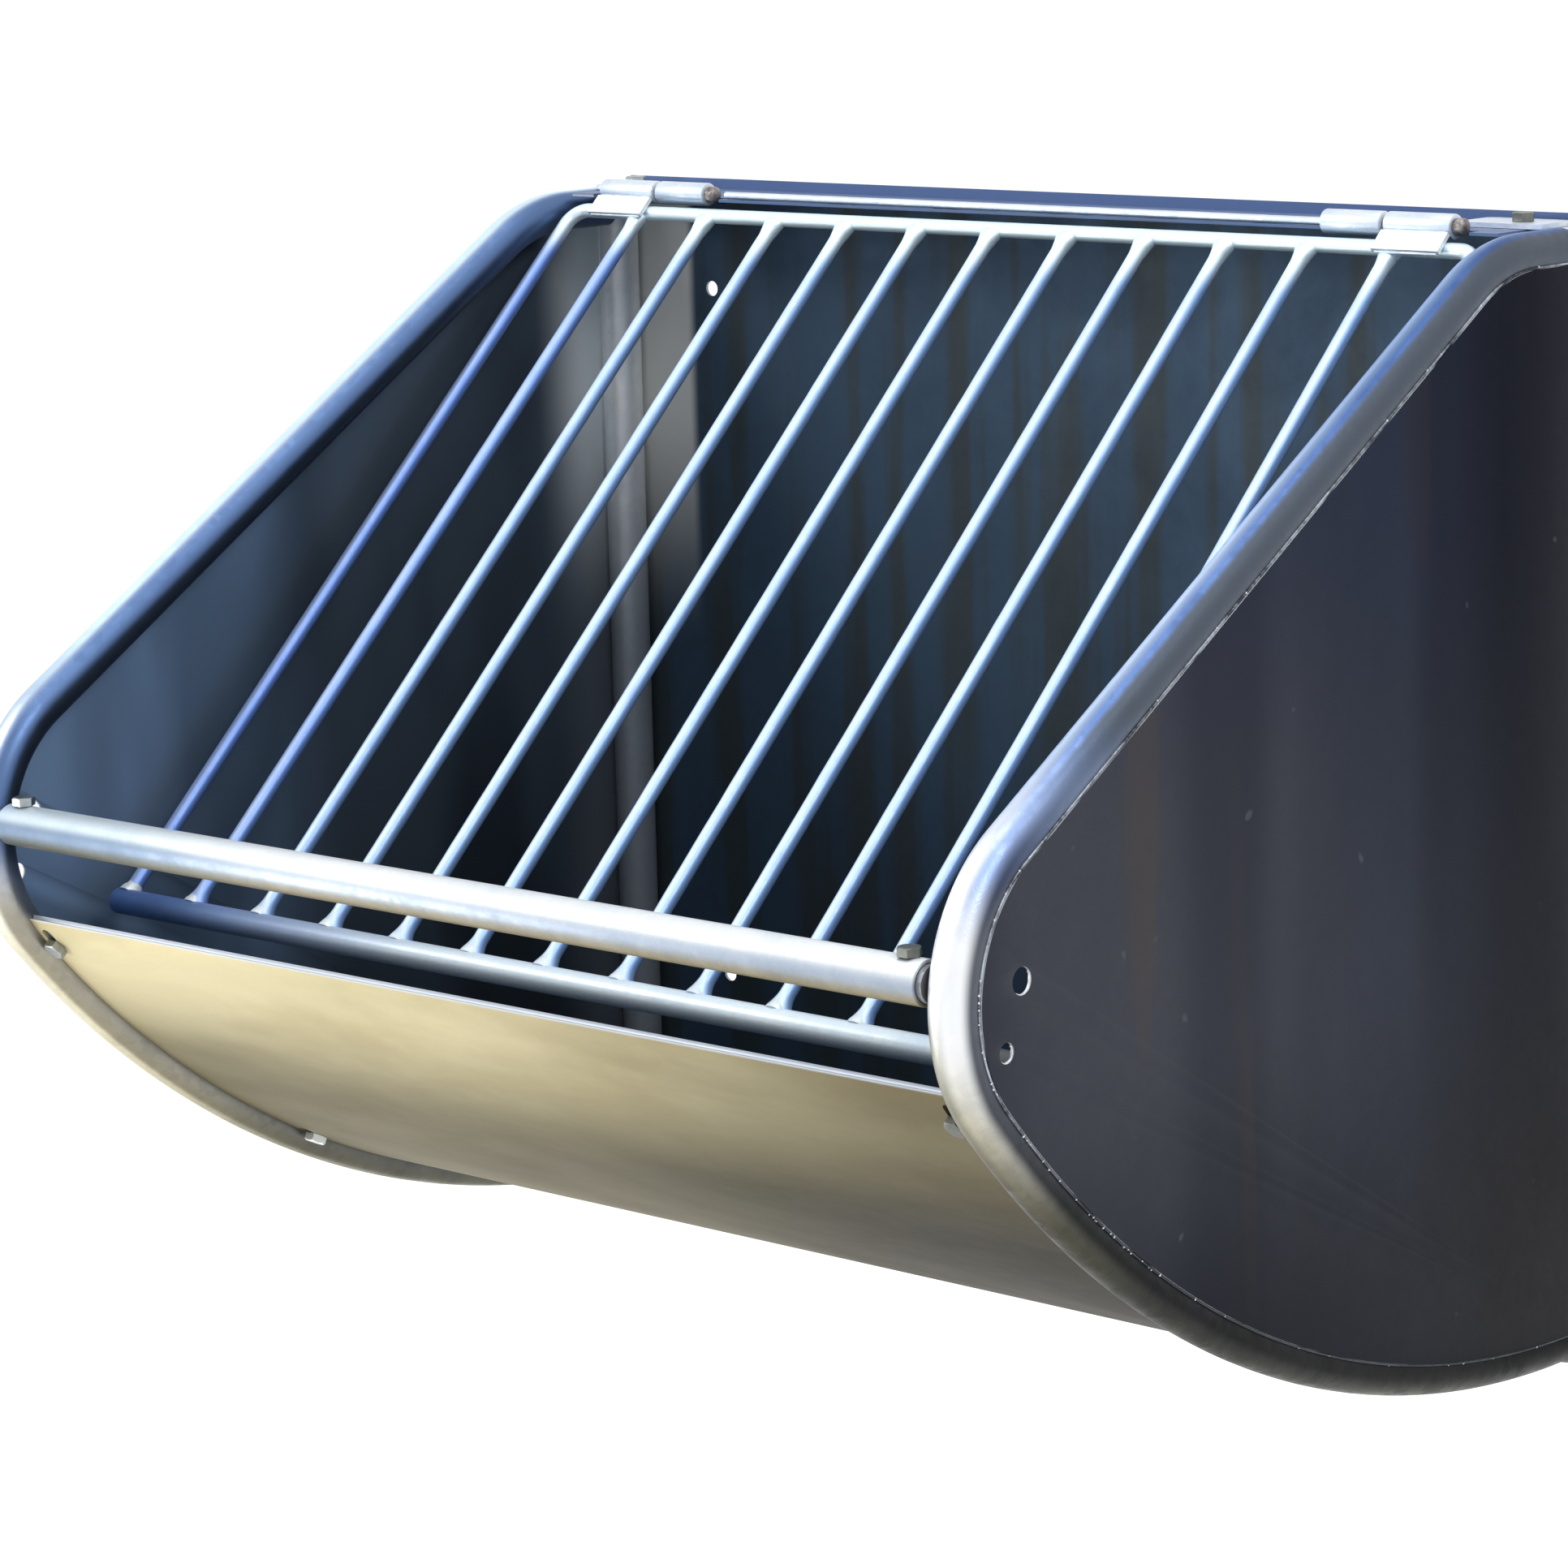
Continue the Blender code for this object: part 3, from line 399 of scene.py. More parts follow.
def make_painted_facing_light():
    """Multiplies a colour by painted reflection and shade, by whether a face looks up, down, forward, back or to a
    side.
    """
    ways = {"Up": (0.0, 0.0, 1.0), "Down": (0.0, 0.0, -1.0), "Front": (0.0, -1.0, 0.0), "Rear": (0.0, 1.0, 0.0)}
    plain = ("Color", (1.0, 1.0, 1.0, 1.0))
    tree, entry = open_tree("ShaderNodeTree", "painted_light_by_facing", color=("Color",), up=plain, down=plain, front=plain,
                            rear=plain, flank=plain, flank_from=("Float", 0.45), flank_to=("Float", 0.9))
    tree.interface.new_socket("Color", in_out="OUTPUT", socket_type="NodeSocketColor")
    facing = coordinates(tree, "Normal")
    shares = {name: vector_step(tree, "DOT_PRODUCT", facing, way)["Value"] for name, way in ways.items()}
    sideways = computed(tree, "ABSOLUTE", node(tree, "ShaderNodeSeparateXYZ", {0: facing}).outputs["X"])
    shares["Flank"] = smooth_cut(tree, sideways, entry["Flank from"], entry["Flank to"])
    colour = entry["Color"]
    for name, share in shares.items():
        colour = node(tree, "ShaderNodeMix", {"Factor": share, "A": colour, "B": entry[name]},
                      data_type="RGBA", blend_type="MULTIPLY", clamp_factor=True).outputs["Result"]
    node(tree, "NodeGroupOutput", {"Color": colour})
    return tree


DRAWN_TUBE = make_drawn_tube_tree()
WELD_SPOTS = make_weld_spot_tree()
ZINC_SKIN = make_zinc_skin()
PAINTED_FACING_LIGHT = make_painted_facing_light()


class Zinc:
    """A galvanised finish: the zinc skin, painted reflection and shade by the way each face looks, and a fine bump,
    under coats of colour, many of them painted highlights and shade.
    """

    def __init__(self, name, light_by_facing=None, metallic=0.85, bump=0.15, gloss=0.5, stretch=(1.0, 1.0, 1.0),
                 turn=(0.0, 0.0, 0.0), **skin):
        self.metal = bpy.data.materials.new(name)
        self.metal.use_nodes = True
        self.tree = self.metal.node_tree
        zinc = node(self.tree, "ShaderNodeGroup", {
            "Place": self.places(stretch, turn), **{label(key): value for key, value in skin.items()}},
            node_tree=ZINC_SKIN).outputs
        colour = zinc["Color"]
        if light_by_facing:
            colour = node(self.tree, "ShaderNodeGroup", {"Color": colour, **light_by_facing},
                          node_tree=PAINTED_FACING_LIGHT).outputs["Color"]
        relief = node(self.tree, "ShaderNodeBump", {"Strength": bump, "Distance": 0.001, "Height": zinc["Height"]})
        feed(self.tree, self.tree.nodes["Principled BSDF"], {
            "Base Color": colour, "Metallic": metallic, "Roughness": zinc["Roughness"],
            "Specular IOR Level": gloss, "Normal": relief.outputs["Normal"]})

    def coat(self, colour, mask, kind="MIX"):
        """Lays one more colour over the others, where the mask is 1."""
        base = self.tree.nodes["Principled BSDF"].inputs["Base Color"]
        layer = node(self.tree, "ShaderNodeMix", {"Factor": mask, "A": base.links[0].from_socket, "B": colour},
                     data_type="RGBA", blend_type=kind, clamp_factor=True)
        self.tree.links.new(layer.outputs["Result"], base)

    def shade(self, colour, mask):
        """Darkens the colours under it to a share of themselves, where the mask is 1."""
        self.coat(colour, mask, "MULTIPLY")

    def places(self, stretch, turn):
        """Places on the feeder, stretched and turned for a pattern."""
        return node(self.tree, "ShaderNodeMapping", {
            "Vector": coordinates(self.tree, "Object"), "Scale": stretch, "Rotation": turn}).outputs["Vector"]

    def along(self, axis, low, high, to_low=0.0, to_high=1.0):
        """Mask that runs from one value to another between two places along an axis."""
        return smooth_cut(self.tree, share_of(self.tree, "Object", axis), low, high, to_low, to_high)

    def patches(self, scale, low, high, stretch=(1.0, 1.0, 1.0), turn=(0.0, 0.0, 0.0), detail=4.0, to_high=1.0):
        """Mask of soft patches: noise, stretched and cut between two levels."""
        speck = node(self.tree, "ShaderNodeTexNoise", {
            "Vector": self.places(stretch, turn), "Scale": scale, "Detail": detail})
        return smooth_cut(self.tree, speck.outputs["Fac"], low, high, 0.0, to_high)

    def inner_face(self):
        """1 on the faces of the side sheets that look into the feeder."""
        distance = computed(self.tree, "ABSOLUTE", share_of(self.tree, "Object", "X"))
        return computed(self.tree, "LESS_THAN", distance, OUTER_X - SHEET / 2)

    def looking(self, axis, low, high):
        """Mask by the way a face looks along an axis: 0 at the low share, 1 at the high one."""
        return smooth_cut(self.tree, share_of(self.tree, "Normal", axis), low, high)

    def facing_side(self, low, high):
        """Mask by how squarely a face looks to either side: 0 at the low share, 1 at the high one."""
        sideways = computed(self.tree, "ABSOLUTE", share_of(self.tree, "Normal", "X"))
        return smooth_cut(self.tree, sideways, low, high)

    def looking_out(self, low, high):
        """Mask by how a face looks away from the middle of the side sheets: 0 at the low share, 1 at the high one."""
        where = self.tree.nodes.new("ShaderNodeTexCoord").outputs
        away = vector_step(self.tree, "SUBTRACT", where["Object"], SIDE_MIDDLE)["Vector"]
        away = vector_step(self.tree, "MULTIPLY", away, (0.0, 1.0, 1.0))["Vector"]
        away = vector_step(self.tree, "NORMALIZE", away)["Vector"]
        share = vector_step(self.tree, "DOT_PRODUCT", away, where["Normal"])["Value"]
        return smooth_cut(self.tree, share, low, high)


def both(first, second):
    """Product of two masks of one metal."""
    return computed(first.node.id_data, "MULTIPLY", first, second)


# Rim zinc. The facing tints paint a blue sky reflection on upward faces and a warm ground reflection on downward
# ones.
frame_zinc = Zinc("rim_zinc", {"Up": (0.42, 0.58, 0.84), "Down": (0.70, 0.60, 0.30)}, bump=0.2,
                  pale=(0.86, 0.87, 0.88), deep=(0.60, 0.62, 0.66), cloud_scale=14.0, spangle_scale=160.0)
right_side = frame_zinc.along("X", -0.1, 0.1)
left_side = frame_zinc.along("X", 0.1, -0.1)
slope_part = frame_zinc.along("Z", NOSE_Z + 0.06, NOSE_Z + 0.15)
below_slope = frame_zinc.along("Z", NOSE_Z + 0.15, NOSE_Z + 0.06)
lower_part = frame_zinc.along("Z", NOSE_Z - 0.01, NOSE_Z - 0.05, 0.0, 0.9)
right_slope = both(right_side, slope_part)
right_nose = both(right_side, below_slope)
left_top = both(left_side, frame_zinc.along("Z", NOSE_Z - 0.05, NOSE_Z + 0.01))
nose_part = both(below_slope, frame_zinc.along("Z", NOSE_Z - 0.06, NOSE_Z + 0.02))
# Right rim: a painted highlight on the nose, painted blue reflection and a painted highlight along the slope's outer
# edge, and painted shade towards the top end, on the flanks and on the nose's outer side.
frame_zinc.coat((0.90, 0.92, 0.94), both(right_side, nose_part))
frame_zinc.shade((0.26, 0.37, 0.62), both(right_slope, frame_zinc.looking("X", -0.15, 0.35)))
frame_zinc.coat((0.54, 0.69, 0.98), both(right_slope, frame_zinc.looking("X", -0.02, -0.32)))
frame_zinc.shade((0.50, 0.60, 0.72), both(right_side, frame_zinc.along("Z", -0.12, 0.03)))
frame_zinc.coat((0.085, 0.104, 0.135), both(right_slope, frame_zinc.looking("X", 0.30, 0.62)))
frame_zinc.coat((0.20, 0.31, 0.60), both(
    both(right_side, frame_zinc.looking("X", 0.10, 0.60)),
    both(below_slope, frame_zinc.along("Z", NOSE_Z + 0.030, NOSE_Z + 0.085))))
frame_zinc.shade((0.11, 0.12, 0.145), both(right_nose, frame_zinc.looking_out(0.62, 0.08)))
frame_zinc.shade((0.42, 0.42, 0.37), both(
    both(right_side, frame_zinc.looking("X", 0.45, -0.20)), frame_zinc.along("Z", NOSE_Z + 0.03, NOSE_Z - 0.02)))
# Left rim: painted blue reflection and painted shade on the flank, a painted highlight along the slope's outer edge,
# and painted shade low on the sides.
frame_zinc.coat((0.10, 0.17, 0.34), both(left_top, frame_zinc.looking("X", 0.15, 0.62)))
frame_zinc.coat((0.045, 0.060, 0.085), both(
    both(left_top, frame_zinc.looking_out(0.28, 0.0)), frame_zinc.along("Y", -0.22, -0.10, 1.0, 0.3)))
frame_zinc.coat((0.66, 0.82, 0.92), both(both(frame_zinc.looking("X", 0.45, 0.10), slope_part), left_side))
frame_zinc.shade((0.40, 0.38, 0.32), both(both(frame_zinc.facing_side(0.32, 0.60), lower_part), left_side))
# Painted shade on both rims, darker towards the bottom.
frame_zinc.shade((0.13, 0.126, 0.095), both(
    right_side, frame_zinc.along("Z", NOSE_Z - 0.01, NOSE_Z - 0.145, 0.0, 0.95)))
frame_zinc.shade((0.20, 0.23, 0.27), both(right_side, frame_zinc.along("Z", -0.37, -0.52)))
frame_zinc.shade((0.30, 0.32, 0.34), both(left_side, frame_zinc.along("Z", -0.45, -0.60)))

post_zinc = Zinc("post_zinc", metallic=0.3, bump=0.2, pale=(0.88, 0.90, 0.90), deep=(0.62, 0.66, 0.70),
                 cloud_scale=10.0, spangle_scale=160.0)
# Painted shade: the uprights darker towards the bottom, under the trough.
post_zinc.shade((0.24, 0.27, 0.31), post_zinc.along("Z", -0.06, -0.26, 0.0, 0.9))
# Painted shade: the seam darker on its downward faces and along the belly; the weld drops' downward faces too.
seam_zinc = Zinc("seam_zinc", {"Down": (0.30, 0.29, 0.25)}, bump=0.3, pale=(0.50, 0.54, 0.60),
                 deep=(0.05, 0.055, 0.065), cloud_scale=26.0, cloud_contrast=4.0, spangle_scale=400.0,
                 spangle_strength=0.3)
seam_zinc.coat((0.045, 0.050, 0.056), seam_zinc.along("Z", -0.34, -0.45, 0.0, 0.97))
weld_zinc = Zinc("weld_zinc", {"Down": (0.55, 0.53, 0.48)}, bump=0.3, pale=(0.92, 0.93, 0.95),
                 deep=(0.58, 0.60, 0.64), cloud_scale=60.0, spangle_scale=400.0)

# Side sheet zinc: its near-black outer tone is partly painted shade.
side_zinc = Zinc("side_sheet_zinc", metallic=0.6, bump=0.035, gloss=0.1, pale=(0.075, 0.080, 0.099),
                 deep=(0.050, 0.055, 0.071), cloud_scale=2.2, cloud_contrast=1.8, spangle_scale=140.0,
                 spangle_strength=0.05, grain_scale=600.0, roughest=0.60, smoothest=0.44)
# Dark vertical bands and a brown streak: painted reflection.
side_zinc.coat((0.030, 0.034, 0.048),
               side_zinc.patches(2.6, 0.46, 0.66, stretch=(1.0, 2.6, 0.16), detail=1.5, to_high=0.85))
side_zinc.coat((0.085, 0.066, 0.052),
               side_zinc.patches(9.0, 0.66, 0.74, stretch=(1.0, 2.0, 0.22), detail=1.0, to_high=0.35))
# Painted shade: darker towards the rear and the bottom, and darker and bluer towards the top.
side_zinc.shade((0.36, 0.43, 0.56), side_zinc.along("Y", -0.40, -0.22, 0.0, 0.85))
side_zinc.shade((0.02, 0.05, 0.16), side_zinc.along("Y", -0.22, -0.10, 0.0, 0.85))
side_zinc.shade((0.12, 0.15, 0.22), side_zinc.along("Z", -0.34, -0.56, 0.0, 0.9))
side_zinc.shade((0.70, 0.78, 1.0), side_zinc.along("Z", -0.24, -0.06, 0.0, 0.9))
side_zinc.coat((0.16, 0.17, 0.19), side_zinc.patches(45.0, 0.76, 0.80, detail=1.0, to_high=0.30))
# Inner faces: a lighter blue than the outer faces as painted sky reflection, painted shade in patches and towards the
# rear, and a painted pool of light high up near the rear.
side_zinc.coat((0.20, 0.30, 0.45), side_zinc.inner_face())
side_zinc.coat((0.075, 0.11, 0.16), both(side_zinc.inner_face(), side_zinc.patches(
    4.0, 0.42, 0.66, stretch=(1.0, 1.8, 0.6), turn=(0.7, 0.0, 0.0), detail=2.5, to_high=0.75)))
side_zinc.shade((0.36, 0.32, 0.28), both(side_zinc.inner_face(), side_zinc.along("Y", -0.40, -0.29, 0.0, 0.95)))
side_zinc.coat((0.85, 0.90, 0.92), both(side_zinc.inner_face(), both(
    side_zinc.along("Y", -0.095, -0.04, 0.0, 0.9), side_zinc.along("Z", -0.26, -0.06, 0.1, 1.0))))
side_zinc.coat((0.62, 0.66, 0.72), both(
    side_zinc.facing_side(0.9, 0.6), side_zinc.patches(30.0, 0.36, 0.52, detail=2.0)))

SEAT_Y = UPRIGHT_Y - RIM_RADIUS - FIT_GAP
LAP = math.sqrt(2 * RIM_RADIUS * SHEET - SHEET ** 2) + FIT_GAP
POST_FOOT = BELLY_Z - BELLY_RADIUS - RIM_RADIUS
EDGE_ROUND = 0.00035
VENT_LIP_FROM, VENT_LIP_TO = -2.9, 0.5


def side_sheet():
    """The side sheet with its vents, flat and with slightly rounded edges."""
    outline = bpy.data.curves.new("side_outline", "CURVE")
    outline.dimensions = "2D"
    outline.fill_mode = "BOTH"
    outline.bevel_depth = EDGE_ROUND
    outline.bevel_resolution = 1
    outline.extrude = SHEET / 2 - EDGE_ROUND
    outline.offset = -EDGE_ROUND
    vents = [arc_points((back - NOSE_REACH, NOSE_Z + rise), radius, 0.0, math.tau, 36)[:-1]
             for back, rise, radius in VENTS]
    for points in [side_route(LAP, UPRIGHT_Y - LAP)] + vents:
        spline = outline.splines.new("POLY")
        spline.points.add(len(points) - 1)
        for target, point in zip(spline.points, points):
            target.co = (*point, 0.0, 1.0)
        spline.use_cyclic_u = True
    flat = put_in("flat", outline)
    sheet = plain_mesh(flat)
    bpy.data.objects.remove(flat, do_unlink=True)
    return sheet


for side, sign in SIDES.items():
    def at_side(x, points):
        """Points of the side view, set on this side of the feeder."""
        return [(sign * x, y, z) for y, z in points]

    bend = side_route(0.0, SEAT_Y - RIM_RADIUS)
    rim = grown(line_mesh(at_side(RIM_X, [(SEAT_Y, bend[0][1])] + bend + [(SEAT_Y, bend[-1][1])])), DRAWN_TUBE,
                frame_zinc, radius=RIM_RADIUS, sides=FRAME_SIDES)
    fit_piece(side + "_rim", rim, frame_zinc, "feeder_body", "frame_steel", side + "_rim_tube")
    post = grown(line_mesh(at_side(RIM_X, [(UPRIGHT_Y, POST_FOOT), (UPRIGHT_Y, FLANGE_TOP)])), DRAWN_TUBE,
                 post_zinc, radius=RIM_RADIUS, sides=FRAME_SIDES)
    fit_piece(side + "_post", post, post_zinc, "feeder_body", "frame_steel", side + "_back_upright")
    sheet = side_sheet()
    sheet.transform(Matrix.Translation((sign * (OUTER_X - SHEET / 2), 0.0, 0.0)) @ FLAT_TO_SIDE_VIEW)
    fit_piece(side + "_sheet", sheet, side_zinc, "feeder_body", "side_steel", side + "_side_sheet", sharp=30.0)

    fillet = grown(line_mesh(at_side(OUTER_X - 0.0015, side_route(LAP - 0.0006, UPRIGHT_Y - LAP))), DRAWN_TUBE,
                   seam_zinc, radius=0.0010, sides=10, lump_height=0.0006, lumps_per_metre=160.0)
    fit_piece(side + "_seam_fillet", fillet, seam_zinc, "feeder_body", "fitting_steel", sharp=60.0)
    seam = at_side(OUTER_X - 0.0012, side_route(LAP - 0.0008, UPRIGHT_Y - LAP))
    nose_seam = [point for point in seam if point[2] < NOSE_Z + 0.02 and point[1] < -0.44]
    lips = [at_side(OUTER_X - 0.0014, arc_points((back - NOSE_REACH, NOSE_Z + rise), radius + 0.0002, VENT_LIP_FROM,
                                                 VENT_LIP_TO, 20)) for back, rise, radius in VENTS]
    weld = joined([
        grown(line_mesh(seam), WELD_SPOTS, weld_zinc, spacing=0.016, drop_radius=0.0008, share_left_out=0.6,
              seed=3 + sign),
        grown(line_mesh(nose_seam), WELD_SPOTS, weld_zinc, spacing=0.0040, drop_radius=0.0009, share_left_out=0.5,
              seed=7 + sign),
        grown(line_mesh(*lips), DRAWN_TUBE, weld_zinc, radius=0.0008, sides=10, lump_height=0.0009,
              lumps_per_metre=260.0),
        grown(line_mesh(lips[1]), WELD_SPOTS, weld_zinc, spacing=0.0036, drop_radius=0.0008, share_left_out=0.45,
              seed=11 + sign)])
    fit_piece(side + "_seam_weld", weld, weld_zinc, "feeder_body", "fitting_steel", sharp=60.0)

# ---------------------------------------------------------------------------
# Trough
# One galvanised sheet from the hemmed lip round the nose, under the belly and
# up the wall, bolted to the rims' tabs through slotted holes. It is stained, and its
# warm tan is a painted reflection of sunlit ground; painted shade darkens it too.
# ---------------------------------------------------------------------------
LIP_HEM = 0.010
HEM_TO_BELLY = 0.007
REAR_BEND_RADIUS = 0.012
FLANGE_Y = -0.0023
HEM_END = BELLY_START - HEM_TO_BELLY / NOSE_RADIUS
FOLD = HEM_END - LIP_HEM / NOSE_RADIUS + 0.018
REAR_BEND_Y = FLANGE_Y - REAR_BEND_RADIUS
REAR_BEND_Z = BELLY_Z - math.sqrt((BELLY_RADIUS - REAR_BEND_RADIUS) ** 2 - (REAR_BEND_Y - BELLY_Y) ** 2)
REAR_BEND_START = math.atan2(REAR_BEND_Z - BELLY_Z, REAR_BEND_Y - BELLY_Y) + math.tau
REAR_FLANGE_HEIGHT = 0.050
TROUGH_HALF = INNER_X - FIT_GAP
TAB_BOLT_X = INNER_X - 0.009
BOLT_RUNS = {"front": 0.010, "middle": 0.291}
SLOT_RADIUS = 0.0043
SLOT_TRAVEL = 0.012


def trough_section():
    """Side view of the sheet as one closed outline, with a rounded fold along the lip."""
    nose, belly, bend = (NOSE_Y, NOSE_Z), (BELLY_Y, BELLY_Z), (REAR_BEND_Y, REAR_BEND_Z)
    inner = NOSE_RADIUS - SHEET
    flange_top = REAR_BEND_Z + REAR_FLANGE_HEIGHT
    section = arc_points(nose, NOSE_RADIUS, FOLD, BELLY_START, 10)
    section += arc_points(belly, BELLY_RADIUS, BELLY_START, REAR_BEND_START, 120)[1:]
    section += arc_points(bend, REAR_BEND_RADIUS, REAR_BEND_START, math.tau, 10)[1:]
    section += [(FLANGE_Y, flange_top), (FLANGE_Y - SHEET, flange_top)]
    section += arc_points(bend, REAR_BEND_RADIUS - SHEET, math.tau, REAR_BEND_START, 10)
    section += arc_points(belly, BELLY_RADIUS - SHEET, REAR_BEND_START, BELLY_START, 120)[1:]
    section += arc_points(nose, inner, BELLY_START, HEM_END, 4)[1:]
    section += arc_points(nose, inner - SHEET, HEM_END, FOLD, 6)
    fold_centre = (NOSE_Y + inner * math.cos(FOLD), NOSE_Z + inner * math.sin(FOLD))
    section += arc_points(fold_centre, SHEET, FOLD + math.pi, FOLD, 8)[1:-1]
    return section


def belly_frame(x, run):
    """Frame on the trough's outer face: X across, Y towards the lip and Z outwards."""
    angle = BELLY_START + run / BELLY_RADIUS
    outward = Vector((0.0, math.cos(angle), math.sin(angle)))
    across = Vector((1.0, 0.0, 0.0))
    turn = Matrix((across, outward.cross(across), outward)).transposed().to_4x4()
    return Matrix.Translation(Vector((x, BELLY_Y, BELLY_Z)) + outward * BELLY_RADIUS) @ turn


def prism(points, depth):
    """A flat outline drawn out along its own normal, from half below to half above."""
    work = bmesh.new()
    base = work.faces.new([work.verts.new((*point, -depth / 2)) for point in points])
    lifted = bmesh.ops.extrude_face_region(work, geom=[base])["geom"]
    bmesh.ops.translate(work, vec=(0.0, 0.0, depth), verts=[v for v in lifted if isinstance(v, bmesh.types.BMVert)])
    bmesh.ops.recalc_face_normals(work, faces=work.faces)
    mesh = bpy.data.meshes.new("prism")
    work.to_mesh(mesh)
    work.free()
    return mesh


def carved(mesh, tools, operation="DIFFERENCE"):
    """Cuts tools out of a mesh, or keeps only what is inside the tool."""
    bodies = [put_in("carved", mesh)]
    for tool in tools:
        bodies.append(put_in("tool", tool))
        cut = bodies[0].modifiers.new("cut", "BOOLEAN")
        cut.solver = "EXACT"
        cut.operation = operation
        cut.object = bodies[-1]
    made = plain_mesh(bodies[0])
    for body in bodies:
        bpy.data.objects.remove(body, do_unlink=True)
    return made


# The tan tones are a painted reflection of sunlit ground; the facing tints paint a blue sky reflection on upward and
# rearward faces.
trough_zinc = Zinc("trough_zinc", {"Up": (0.40, 0.50, 0.70), "Rear": (0.5, 0.55, 0.66)}, metallic=0.45, bump=0.05,
                   gloss=0.1, stretch=(0.6, 1.4, 1.8), turn=(0.0, 0.9, 0.3), pale=(0.78, 0.70, 0.43),
                   deep=(0.60, 0.53, 0.33), cloud_scale=6.0, cloud_contrast=1.6, spangle_scale=120.0,
                   spangle_strength=0.05, roughest=0.62, smoothest=0.48)
trough_zinc.shade((0.70, 0.65, 0.55), trough_zinc.patches(
    7.0, 0.48, 0.62, stretch=(0.55, 1.0, 1.0), turn=(0.0, 0.5, 0.0), detail=6.0, to_high=0.40))
# Painted shade: darker towards the bottom, more so on the right, and darker towards the right.
trough_zinc.shade((0.17, 0.165, 0.14), trough_zinc.along("Z", -0.385, -0.500, 0.0, 0.90))
trough_zinc.shade((0.34, 0.32, 0.20), both(
    trough_zinc.along("Z", -0.40, -0.50), trough_zinc.along("X", -0.25, 0.20)))
trough_zinc.shade((0.33, 0.32, 0.29), trough_zinc.along("X", -0.10, 0.36, 0.0, 0.98))
trough_zinc.shade((0.42, 0.39, 0.34), trough_zinc.patches(
    3.0, 0.50, 0.78, stretch=(0.6, 1.0, 2.0), turn=(0.0, 0.95, 0.0), detail=2.5, to_high=0.55))
trough_zinc.shade((0.60, 0.58, 0.54), trough_zinc.patches(
    9.0, 0.52, 0.74, stretch=(0.5, 1.0, 2.2), turn=(0.0, 1.1, 0.0), detail=3.0, to_high=0.3))
# Painted shade on the trough's inner face.
trough_zinc.coat((0.050, 0.062, 0.080), trough_zinc.looking_out(-0.05, -0.35))
trough_zinc.coat((0.68, 0.74, 0.84), trough_zinc.along("Z", NOSE_Z - 0.0535, NOSE_Z - 0.0512, 0.0, 0.9))

tab_frames = {side + "_" + where: belly_frame(sign * TAB_BOLT_X, run)
              for side, sign in SIDES.items() for where, run in BOLT_RUNS.items()}
slot_outline = arc_points((0.0, SLOT_TRAVEL), SLOT_RADIUS, 0.0, math.pi, 12)
slot_outline += arc_points((0.0, 0.0), SLOT_RADIUS, math.pi, math.tau, 12)
slots = [prism(slot_outline, 0.016) for _ in tab_frames]
for slot, place in zip(slots, tab_frames.values()):
    slot.transform(place)
trough_sheet = prism(trough_section(), 2 * TROUGH_HALF)
trough_sheet.transform(FLAT_TO_SIDE_VIEW)
fit_piece("trough", carved(trough_sheet, slots), trough_zinc, "feeder_body", "trough_steel", "trough_sheet",
          sharp=30.0)

# ---------------------------------------------------------------------------
# Bolts, nuts and the tabs behind the trough
# Zinc-plated M8 hexagon bolts throughout: two a side through the trough into
# nuts behind flat welded tabs, one in each corner plate, one in each end of the
# front bar. Heads are chamfered and carry a plain raised washer face.
# ---------------------------------------------------------------------------
BOLT_FLATS = 0.013
BOLT_HEAD = 0.0053
BOLT_EDGE = 28.0
WASHER_FACE = 0.0003
NUT_HEIGHT = 0.0065
CORNER_BOLT = (0.378, -0.027)
FRONT_BAR_RADIUS = 0.0135
FRONT_BAR_RISE = 0.014
FRONT_BAR_Z = NOSE_Z + FRONT_BAR_RISE
FRONT_BAR_Y = NOSE_Y - math.sqrt(NOSE_RADIUS ** 2 - FRONT_BAR_RISE ** 2)
FRONT_BAR_END = 0.3885
BAR_BOLT_X = FRONT_BAR_END - 0.013


def turned(profile, sides, closed=False):
    """A profile of radii and heights turned round Z; one that isn't closed starts and ends on the axis."""
    points, faces, rings = [], [], []
    for radius, height in profile:
        if radius < 1e-9:
            rings.append([len(points)] * sides)
            points.append((0.0, 0.0, height))
            continue
        rings.append(list(range(len(points), len(points) + sides)))
        points += [(x, y, height) for x, y in arc_points((0.0, 0.0), radius, 0.0, math.tau, sides)[:-1]]
    for one, other in list(zip(rings, rings[1:])) + ([(rings[-1], rings[0])] if closed else []):
        for step in range(sides):
            after = (step + 1) % sides
            corners = list(dict.fromkeys((one[step], one[after], other[after], other[step])))
            if len(corners) > 2:
                faces.append(corners)
    mesh = bpy.data.meshes.new("turned")
    mesh.from_pydata(points, [], faces)
    return cleaned(mesh)


def hexagon_head(height, both_ends):
    """Hexagon whose corners are turned off at 30 degrees, at its top or at both ends."""
    corner = BOLT_FLATS / math.sqrt(3)
    hexagon = prism(arc_points((0.0, 0.0), corner, 0.0, math.tau, 6)[:-1], height)
    flat, wide, half = BOLT_FLATS / 2 * 0.95, corner * 1.1, height / 2
    fall = (wide - flat) * math.tan(math.radians(30.0))
    shell = [(0.0, half), (flat, half), (wide, half - fall)]
    shell += [(wide, fall - half), (flat, -half), (0.0, -half)] if both_ends else [
        (wide, -half - 0.001), (0.0, -half - 0.001)]
    head = carved(hexagon, [turned(shell, 48)], "INTERSECT")
    head.transform(Matrix.Translation((0.0, 0.0, half)))
    return head


